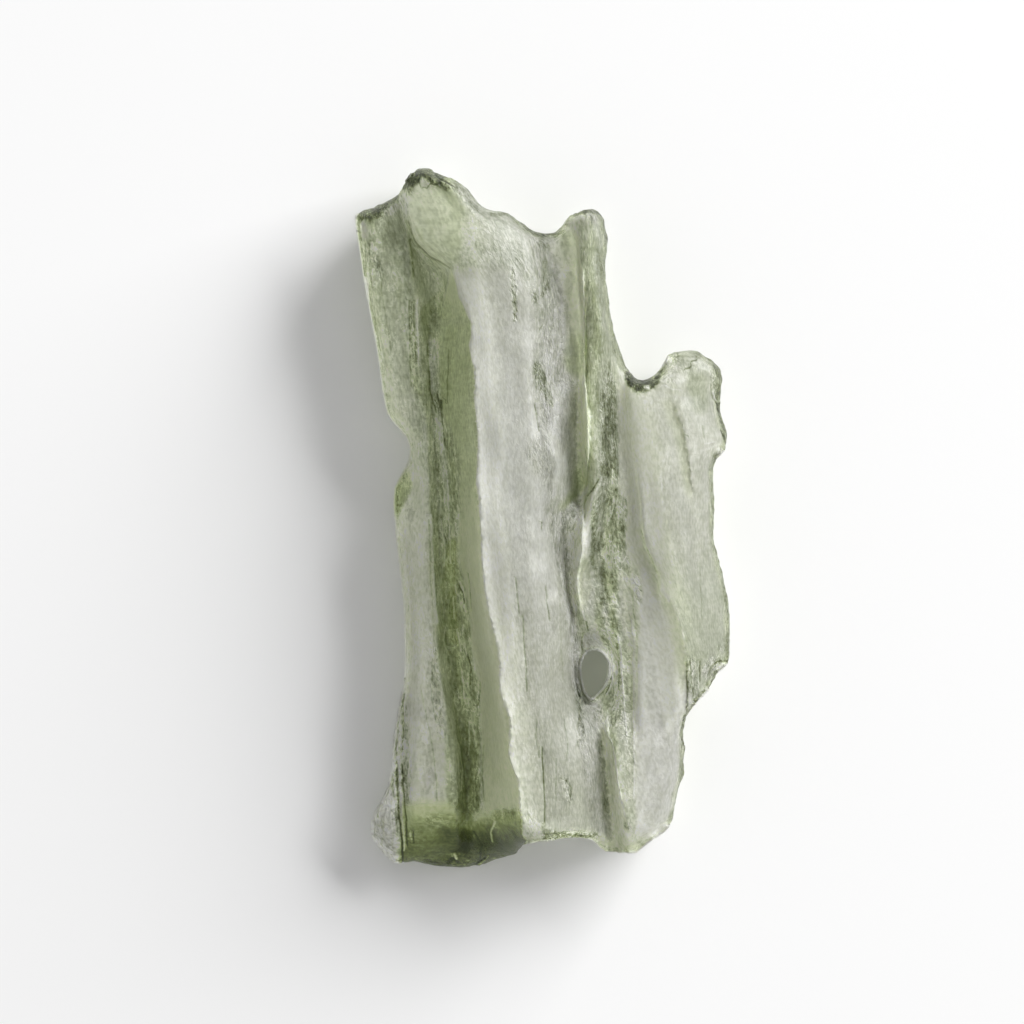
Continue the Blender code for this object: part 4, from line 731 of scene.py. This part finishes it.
def paintedFront(places, normals):
    # tint, grain and clearness of each point, and the borders' place wanders a little
    x, y, z = places.T
    noises = stoneLook["noises"]
    front = smoothStep(-0.45, 0.05, normals[:, 2])
    flow = np.stack([flowAcross(x, y), y, z], axis=1)
    across, down = inView(places)
    across = across + noiseSum(flow, noises["wanderAcross"])
    down = down + noiseSum(flow, noises["wanderDown"])
    # slopes facing left, away from the lamp, are painted darker as shade
    tint = (stoneLook["plainTint"] + stoneLook["leftSlopeShade"] * smoothStep(0.2, 0.8, -normals[:, 0])
            + noiseSum(flow, noises["sidePatches"]))
    clear, grain = np.zeros(len(x)), np.full(len(x), stoneLook["plainGrain"])
    for name, zoneClear, zoneGrain, tints, softLeft, softRight, left, right in tintZones:
        weight, zoneTint = zoneWeight(across, down, left, right, softLeft, softRight, tints)
        weight = weight * front
        tint += (zoneTint - tint) * weight
        clear += (zoneClear - clear) * weight
        grain += (zoneGrain - grain) * weight
    for strokeTint, strokeGrain, path in tintStrokes:
        weight = brushWeight(across, down, path, 0.35) * front
        tint += (strokeTint - tint) * weight
        grain += (strokeGrain - grain) * weight
    for strength, path in clearStrokes:
        clear += (strength - clear) * brushWeight(across, down, path, 0.5) * front
    return tint, grain, clear, flow, front


def nearestLine(across, down):
    # each point's signed distance from the nearest fine line, in the line's half widths, and
    # the line's strength, which fades beyond its ends and away from it
    side, strength = np.full(len(across), 9.0), np.zeros(len(across))
    for lineStrength, halfWidth, path in fineLines:
        for (ax, ay), (bx, by) in zip(path, path[1:]):
            dx, dy = bx - ax, by - ay
            length = math.hypot(dx, dy)
            along = ((across - ax) * dx + (down - ay) * dy) / length
            over = np.maximum(np.maximum(-along, along - length), 0.0)
            beside = (dy * (across - ax) - dx * (down - ay)) / length / halfWidth
            closer = (np.hypot(beside, over) < np.abs(side)) & (over < 2.5)
            side = np.where(closer, beside, side)
            fade = smoothStep(2.5, 0.5, over) * smoothStep(5.0, 3.0, np.abs(beside))
            strength = np.where(closer, lineStrength * fade, strength)
    return side, strength


def rimKind(facing, across, down):
    # towards the lamp the rim gets a painted dark outline, shade, and a rough band; away from it
    # and in the hole a painted highlight, a thin bright line
    seen = stoneLook["hole"]
    fromHole = np.hypot(across - seen["across"], seen["slimness"] * (down - seen["down"]))
    hole = smoothStep(seen["outer"], seen["inner"], fromHole)
    seen = stoneLook["foot"]
    foot = (smoothStep(*seen["top"], down) * smoothStep(*seen["left"], across)
            * smoothStep(*seen["right"], across))
    away = smoothStep(0.15, -0.15, 0.55 * facing[:, 0] + 0.83 * facing[:, 1]) * (1.0 - foot)
    bright = np.maximum(away, hole)
    shaded = (1.0 - bright) * (1.0 - seen["pale"] * foot)
    for strength, path in paleRims:
        shaded *= 1.0 - strength * brushWeight(across, down, path, 0.4)
    return bright, shaded, hole


stone = copyNode("moldavite", "moldaviteStone")
sizes, finer = stoneLook["meshSizes"], stoneLook["finer"]
splitLongEdges(stone, np.full(len(stone.data.vertices), sizes["first"]))
applyModifier(stone, "SMOOTH", factor=0.5, iterations=2)
for turn in range(3):  # finer in each turn where grain, rim, lines and lips need it
    places, normals = placesOf(stone), normalsOf(stone)
    across, down = inView(places)
    tint, grain, clear, flow, front = paintedFront(places, normals)
    onTop = np.where(grain > finer["grain"], sizes["grainy"], sizes["front"])
    longest = np.where(normals[:, 2] > 0, onTop, sizes["back"])
    onFront = normals[:, 2] > -0.2
    rim, facing = nearestRim(stone, places, normals)
    bright = rimKind(facing, across, down)[0]
    onRim = np.where(bright > 0.5, sizes["lip"], sizes["rim"])
    longest = np.where((rim < finer["rim"]) & onFront, onRim, longest)
    nearLine = np.zeros(len(places))
    for strength, halfWidth, path in fineLines:
        brush = [(a, b, finer["line"]) for a, b in path]
        nearLine = np.maximum(nearLine, brushWeight(across, down, brush, 0.1))
    for height, drop, border in sheetLips:
        beside = besideBorder(across, down, border)[0]
        nearLine = np.maximum(nearLine, np.abs(beside) < finer["lip"])
    longest = np.where((nearLine > 0.5) & onFront, sizes["line"], longest)
    splitLongEdges(stone, longest)
    if turn < 2:
        applyModifier(stone, "SMOOTH", factor=0.5, iterations=1)
print("stone:", len(stone.data.vertices), "points,", len(stone.data.polygons), "faces")

places, normals = placesOf(stone), normalsOf(stone)
across, down = inView(places)
tint, grain, clear, flow, front = paintedFront(places, normals)
noises = stoneLook["noises"]
wavy = noiseSum(flow, noises["lineWaver"])
tint += noiseSum(flow, noises["patches"]) * (0.7 + grain)

rim, facing = nearestRim(stone, places, normals)
rim = np.minimum(rim, 1.0)
bright, shaded, hole = rimKind(facing, across, down)
shaded = shaded * front
# towards the lamp a rough band of broken glass along the rim, painted a little darker as shade
roughBand = smoothStep(0.40, 0.12, rim + noiseSum(places, noises["rimWaver"])) * shaded
grain += np.maximum(stoneLook["rimGrain"] - grain, 0.0) * 0.75 * roughBand
tint += stoneLook["rimShade"] * roughBand
clear += stoneLook["rimClear"] * roughBand * (1.0 - clear)
# the hole's steep walls by the rim are painted white, painted light that lifts the dark hole
steep, byRim = smoothStep(0.6, 0.2, normals[:, 2]), smoothStep(0.12, 0.0, rim)
tint += (stoneLook["paintedHoleLight"] - tint) * hole * steep * byRim

# painted light and shade stand in for the light that thin glass passes on: the colour is
# painted darker where the surface faces the lamp and lighter where it faces away, but nothing
# is painted darker left of the central lip, where the ridge already shades the stone
key = directionOf(lightLook["key"])
received = 0.6 * np.maximum(normals @ np.array(key), 0.0) / key[2] + 0.4
power = np.where(received > 1.0, stoneLook["evenLit"], stoneLook["evenShade"])
paintedLight = np.clip(received ** -power, *stoneLook["evenLimits"])
lipDowns, lipAcrosses = zip(*borders["centralLip"])
leftOfLip = smoothStep(4.0, -4.0, across - np.interp(down, lipDowns, lipAcrosses))
paintedLight += leftOfLip * np.maximum(1.0 - paintedLight, 0.0)
beneath = smoothStep(0.05, -0.30, normals[:, 2])
tint += (stoneLook["underTint"] + noiseSum(flow, noises["underPatches"]) - tint) * beneath
side, strength = nearestLine(across + wavy, down)
strength = strength * front

# lips, filled hollows and relief
reach = stoneLook["rimReach"]
plateau = plateauHeight(places, normals, rim, reach)
filled = bright * smoothStep(0.0, 0.12, normals[:, 2]) * smoothStep(reach, 0.8 * reach, rim)
rimLip = stoneLook["rimLip"] * smoothStep(0.15, 0.06, rim)
lift = filled * (np.maximum(plateau - places[:, 2], 0.0) + rimLip)
lips = stoneLook["lips"]
for height, drop, border in sheetLips:
    beside, ends = besideBorder(across + wavy, down, border)
    step = smoothStep(-lips["step"], lips["step"], beside)
    near = np.exp(-np.maximum(beside, 0) / lips["reach"])
    over = step * (height * near - drop * (1 - near) * smoothStep(*lips["end"], beside))
    under = lips["dip"] * height * (1 - step) * np.exp(np.minimum(beside, 0) / lips["dipReach"])
    lift += ends * front * (over - under)
for heights, softLeft, softRight, left, right in shallows:
    weight, height = zoneWeight(across + wavy, down, left, right, softLeft, softRight, heights)
    lift += weight * height * front
relief = noiseSum(flow, noises["ground"])
for share, onto, name in ((grain, flow, "grain"), (roughBand, places, "rim")):
    for amount, perMm, seed in noises[name]:
        relief = relief + share * amount * noiseAt(onto, perMm, seed)
cut = stoneLook["lineDepth"] * strength * smoothStep(1.6, 0.0, np.abs(side))
places = places + normals * (relief - cut)[:, None]
places[:, 2] += lift
low, high = np.array(cadBox[0]) / mm, np.array(cadBox[1]) / mm
setPlaces(stone, np.clip(places, low, high))
selectOnly(stone)
bpy.ops.object.mode_set(mode="EDIT")
bpy.ops.mesh.select_all(action="DESELECT")
bpy.ops.mesh.edges_select_sharp(sharpness=math.radians(stoneLook["sharpAngle"]))
bpy.ops.mesh.mark_sharp()
bpy.ops.object.mode_set(mode="OBJECT")

layers = {"tint": tint, "grain": grain, "clear": clear, "rim": rim, "bright": bright * front,
          "shaded": shaded, "lineSide": np.clip(side, -6.0, 6.0), "lineStrength": strength,
          "paintedLight": paintedLight}
for name, values in layers.items():
    layer = stone.data.attributes.new(name, "FLOAT", "POINT")
    layer.data.foreach_set("value", values.astype(np.float32))
layer = stone.data.attributes.new("flow", "FLOAT_VECTOR", "POINT")
layer.data.foreach_set("vector", flow.astype(np.float32).ravel())
print("stone painted")


class Nodes:
    # short hand for building a material's nodes
    def __init__(self, tree):
        self.tree = tree

    def add(self, kind, inputs=None, **settings):
        node = self.tree.nodes.new(kind)
        for name, value in settings.items():
            setattr(node, name, value)
        for name, value in (inputs or {}).items():
            if isinstance(value, bpy.types.NodeSocket):
                self.tree.links.new(value, node.inputs[name])
            else:
                node.inputs[name].default_value = value
        return node

    def math(self, operation, a, b=0.0, c=0.0):
        return self.add("ShaderNodeMath", {0: a, 1: b, 2: c}, operation=operation).outputs[0]

    def times(self, a, b):
        return self.math("MULTIPLY", a, b)

    def timesPlus(self, a, b, c):
        return self.math("MULTIPLY_ADD", a, b, c)

    def attribute(self, name, output="Fac"):
        return self.add("ShaderNodeAttribute", attribute_name=name).outputs[output]

    def flowNoise(self, flow, perMm, detail, roughness, distortion):
        stretched = self.add("ShaderNodeMapping", {"Vector": flow, "Scale": perMm}).outputs[0]
        wanted = {"Vector": stretched, "Scale": 1.0, "Detail": detail, "Roughness": roughness,
                  "Distortion": distortion}
        return self.add("ShaderNodeTexNoise", wanted).outputs["Fac"]

    def spread(self, value, low, high, toLow=-1.0, toHigh=1.0):
        wanted = {"Value": value, "From Min": low, "From Max": high, "To Min": toLow, "To Max": toHigh}
        return self.add("ShaderNodeMapRange", wanted).outputs[0]

    def line(self, value, level, halfWidth):
        # 1 where value is at the level, 0 where it is halfWidth away
        gap = self.math("ABSOLUTE", self.math("SUBTRACT", value, level))
        return self.spread(gap, 0.0, halfWidth, 1.0, 0.0)

    def mix(self, value, target, share):
        return self.timesPlus(self.math("SUBTRACT", target, value), share, value)

    def ramp(self, value, stops):
        # the stops may lie outside 0 to 1, so value is brought into that range first
        low, high = stops[0][0], stops[-1][0]
        node = self.add("ShaderNodeValToRGB", {"Fac": self.spread(value, low, high, 0.0, 1.0)})
        elements = node.color_ramp.elements
        while len(elements) < len(stops):
            elements.new(0.5)
        for k, (position, colour) in enumerate(stops):
            elements[k].position = (position - low) / (high - low)
            elements[k].color = (*colour, 1.0)
        return node.outputs["Color"]


def glassMaterial(look):
    grainy = look["pattern"]
    material = bpy.data.materials.new("natural_glass")
    material.use_nodes = True
    tree = material.node_tree
    nodes = Nodes(tree)
    shader = tree.nodes["Principled BSDF"]
    tintHere, grainHere, clearHere = (nodes.attribute(n) for n in ("tint", "grain", "clear"))
    sideHere, lineHere = (nodes.attribute(n) for n in ("lineSide", "lineStrength"))
    rimHere, brightHere, shadedHere = (nodes.attribute(n) for n in ("rim", "bright", "shaded"))
    flowHere = nodes.attribute("flow", "Vector")
    noises = {name: nodes.flowNoise(flowHere, *values) for name, values in grainy["noises"].items()}

    # flecks: thin glints painted as highlights, cracks, streaks along the flow and wider mottling
    narrow, wide = grainy["narrow"], grainy["wide"]
    hair = nodes.spread(noises["hair"], *narrow)
    glint = nodes.times(nodes.line(noises["worm"], *grainy["glintAt"]),
                        nodes.spread(noises["mottle"], *grainy["glintWhere"]))
    crack = nodes.times(nodes.line(noises["worm"], *grainy["crackAt"]),
                        nodes.spread(noises["mottle"], *grainy["crackWhere"]))
    dull = nodes.timesPlus(clearHere, -grainy["clearDull"], 1.0)
    strength = nodes.math("MINIMUM", grainHere, grainy["mostGrain"])
    strength = nodes.times(nodes.timesPlus(strength, grainy["perGrain"], grainy["plain"]), dull)
    flecks = nodes.times(hair, grainy["hair"])
    flecks = nodes.timesPlus(nodes.spread(noises["streak"], *narrow), grainy["streak"], flecks)
    flecks = nodes.times(flecks, nodes.spread(grainHere, 0.2, 0.6, 0.6, 1.0))
    flecks = nodes.timesPlus(nodes.spread(noises["mottle"], *narrow), grainy["mottle"], flecks)
    flecks = nodes.timesPlus(glint, grainy["glint"], flecks)
    flecks = nodes.timesPlus(crack, grainy["crack"], flecks)
    fine = nodes.times(nodes.spread(noises["fine"], *wide), dull)
    fine = nodes.times(fine, nodes.spread(grainHere, 0.0, 1.0, *grainy["fine"]))
    flecks = nodes.timesPlus(flecks, strength, fine)

    # tint: flecks, ripples and fine lines, then the rim: towards the lamp a painted dark outline
    # with painted glints in its crinkles, away from it a painted highlight with painted shade in a
    # thin line inside it
    shade = nodes.timesPlus(flecks, grainy["toTint"], tintHere)
    shade = nodes.timesPlus(nodes.spread(noises["ripple"], *wide), grainy["ripple"], shade)
    fineLine = nodes.times(nodes.line(sideHere, 0.0, 1.5), lineHere)
    shade = nodes.timesPlus(fineLine, grainy["line"], shade)
    uneven = nodes.timesPlus(nodes.spread(noises["crinkle"], *wide), 0.07, rimHere)
    # painted dark outline along the rim towards the lamp
    darkEdge = nodes.times(nodes.spread(uneven, 0.0, 0.12, 0.9, 0.0), shadedHere)
    shade = nodes.mix(shade, grainy["darkRim"], darkEdge)
    # painted glints in the crinkles of the rim towards the lamp
    crinkle = nodes.times(nodes.line(noises["crinkle"], *grainy["crinkleAt"]),
                          nodes.spread(rimHere, 0.10, 0.55, 0.9, 0.0))
    shade = nodes.mix(shade, grainy["paleCrinkle"], nodes.times(crinkle, shadedHere))
    # a thin line of painted shade inside the painted highlight
    inner = nodes.times(nodes.line(uneven, 0.16, 0.05), brightHere)
    shade = nodes.timesPlus(inner, grainy["innerLine"], shade)
    # painted highlight: a bright line on the rim away from the lamp and in the hole
    paintedRimHighlight = nodes.times(nodes.spread(rimHere, 0.06, 0.10, 1.0, 0.0), brightHere)
    shade = nodes.mix(shade, grainy["rimHighlightTint"], paintedRimHighlight)

    colour = nodes.ramp(shade, look["colours"])
    clearColour = nodes.add("ShaderNodeMix", {0: clearHere, 6: colour, 7: (*look["clearTint"], 1.0)},
                            data_type="RGBA", blend_type="MULTIPLY").outputs[2]
    green = nodes.add("ShaderNodeSeparateColor", {0: clearColour}).outputs["Green"]
    most = nodes.math("DIVIDE", grainy["brightest"], green)
    # the colour is scaled by the layer of painted light and shade, no further than the most green
    factor = nodes.math("MINIMUM", nodes.attribute("paintedLight"), most)
    factor = nodes.times(factor, nodes.spread(flecks, -0.5, 1.0, *grainy["grey"]))
    evened = nodes.add("ShaderNodeVectorMath", {0: clearColour, "Scale": factor}, operation="SCALE")
    tree.links.new(evened.outputs[0], shader.inputs["Base Color"])

    edge = nodes.times(nodes.spread(rimHere, 0.0, 0.12, grainy["edge"], 0.0), brightHere)
    rough = nodes.times(nodes.math("MINIMUM", grainHere, grainy["mostRough"]), dull)
    rough = nodes.math("POWER", rough, grainy["power"])
    pits = nodes.times(nodes.spread(noises["worm"], *wide), grainy["pits"])
    pits = nodes.timesPlus(hair, grainy["hairs"], pits)
    height = nodes.timesPlus(pits, rough, edge)
    bump = nodes.add("ShaderNodeBump", {"Height": height, "Strength": 1.0, "Distance": mm})
    tree.links.new(bump.outputs["Normal"], shader.inputs["Normal"])
    gloss = nodes.spread(clearHere, 0.0, 1.0, look["roughness"], look["clearRoughness"])
    tree.links.new(gloss, shader.inputs["Roughness"])
    plain = {"Subsurface Weight": look["cloudiness"], "Subsurface Radius": look["cloudRadius"],
             "Subsurface Scale": look["cloudDepth"] * mm, "IOR": look["ior"],
             "Specular IOR Level": look["specular"], "Transmission Weight": look["transmission"]}
    for name, value in plain.items():
        shader.inputs[name].default_value = value
    inside = nodes.add("ShaderNodeVolumeAbsorption",
                       {"Color": (*look["absorption"], 1.0), "Density": look["density"]})
    tree.links.new(inside.outputs["Volume"], tree.nodes["Material Output"].inputs["Volume"])
    return material


stone.data.materials.clear()
stone.data.materials.append(glassMaterial(stoneLook))
selectOnly(stone)
bpy.ops.object.shade_smooth()
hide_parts("moldavite")
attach(stone, "root")
print("glass done")

floorLook = {"colour": (0.90, 0.90, 0.90), "size": 8.0, "roughness": 0.9}
bpy.ops.mesh.primitive_plane_add(size=floorLook["size"], location=(0.0, 0.0, 0.0))
floor = bpy.context.object
floor.name = "floor"
paper = bpy.data.materials.new("paper")
paper.use_nodes = True
paperShader = paper.node_tree.nodes["Principled BSDF"]
paperShader.inputs["Base Color"].default_value = (*floorLook["colour"], 1.0)
paperShader.inputs["Roughness"].default_value = floorLook["roughness"]
floor.data.materials.append(paper)

light = lightLook["key"]
towards = directionOf(light)
bpy.ops.object.light_add(type="AREA", location=towards * light["distance"])
lamp = bpy.context.object
lamp.name = "key"
lamp.data.size = light["size"]
lamp.data.energy = light["power"]
lamp.rotation_euler = (-towards).to_track_quat("-Z", "Y").to_euler()
world = bpy.data.worlds.new("studio")
bpy.context.scene.world = world
world.use_nodes = True
sky = world.node_tree.nodes["Background"]
sky.inputs["Color"].default_value = (1.0, 1.0, 1.0, 1.0)
sky.inputs["Strength"].default_value = lightLook["sky"]
bpy.context.scene.view_settings.view_transform = "Standard"

cameraData = bpy.data.cameras.new("camera")
cameraData.lens = view["lens"]
cameraData.sensor_width = view["sensor"]
cameraData.clip_start, cameraData.clip_end = 0.01, 10.0
camera = bpy.data.objects.new("camera", cameraData)
bpy.context.scene.collection.objects.link(camera)
away = view["width"] * view["lens"] / view["sensor"] + view["focus"]
camera.location = Vector((*view["centre"], away)) * mm
bpy.context.scene.camera = camera
print("table, light and camera done")
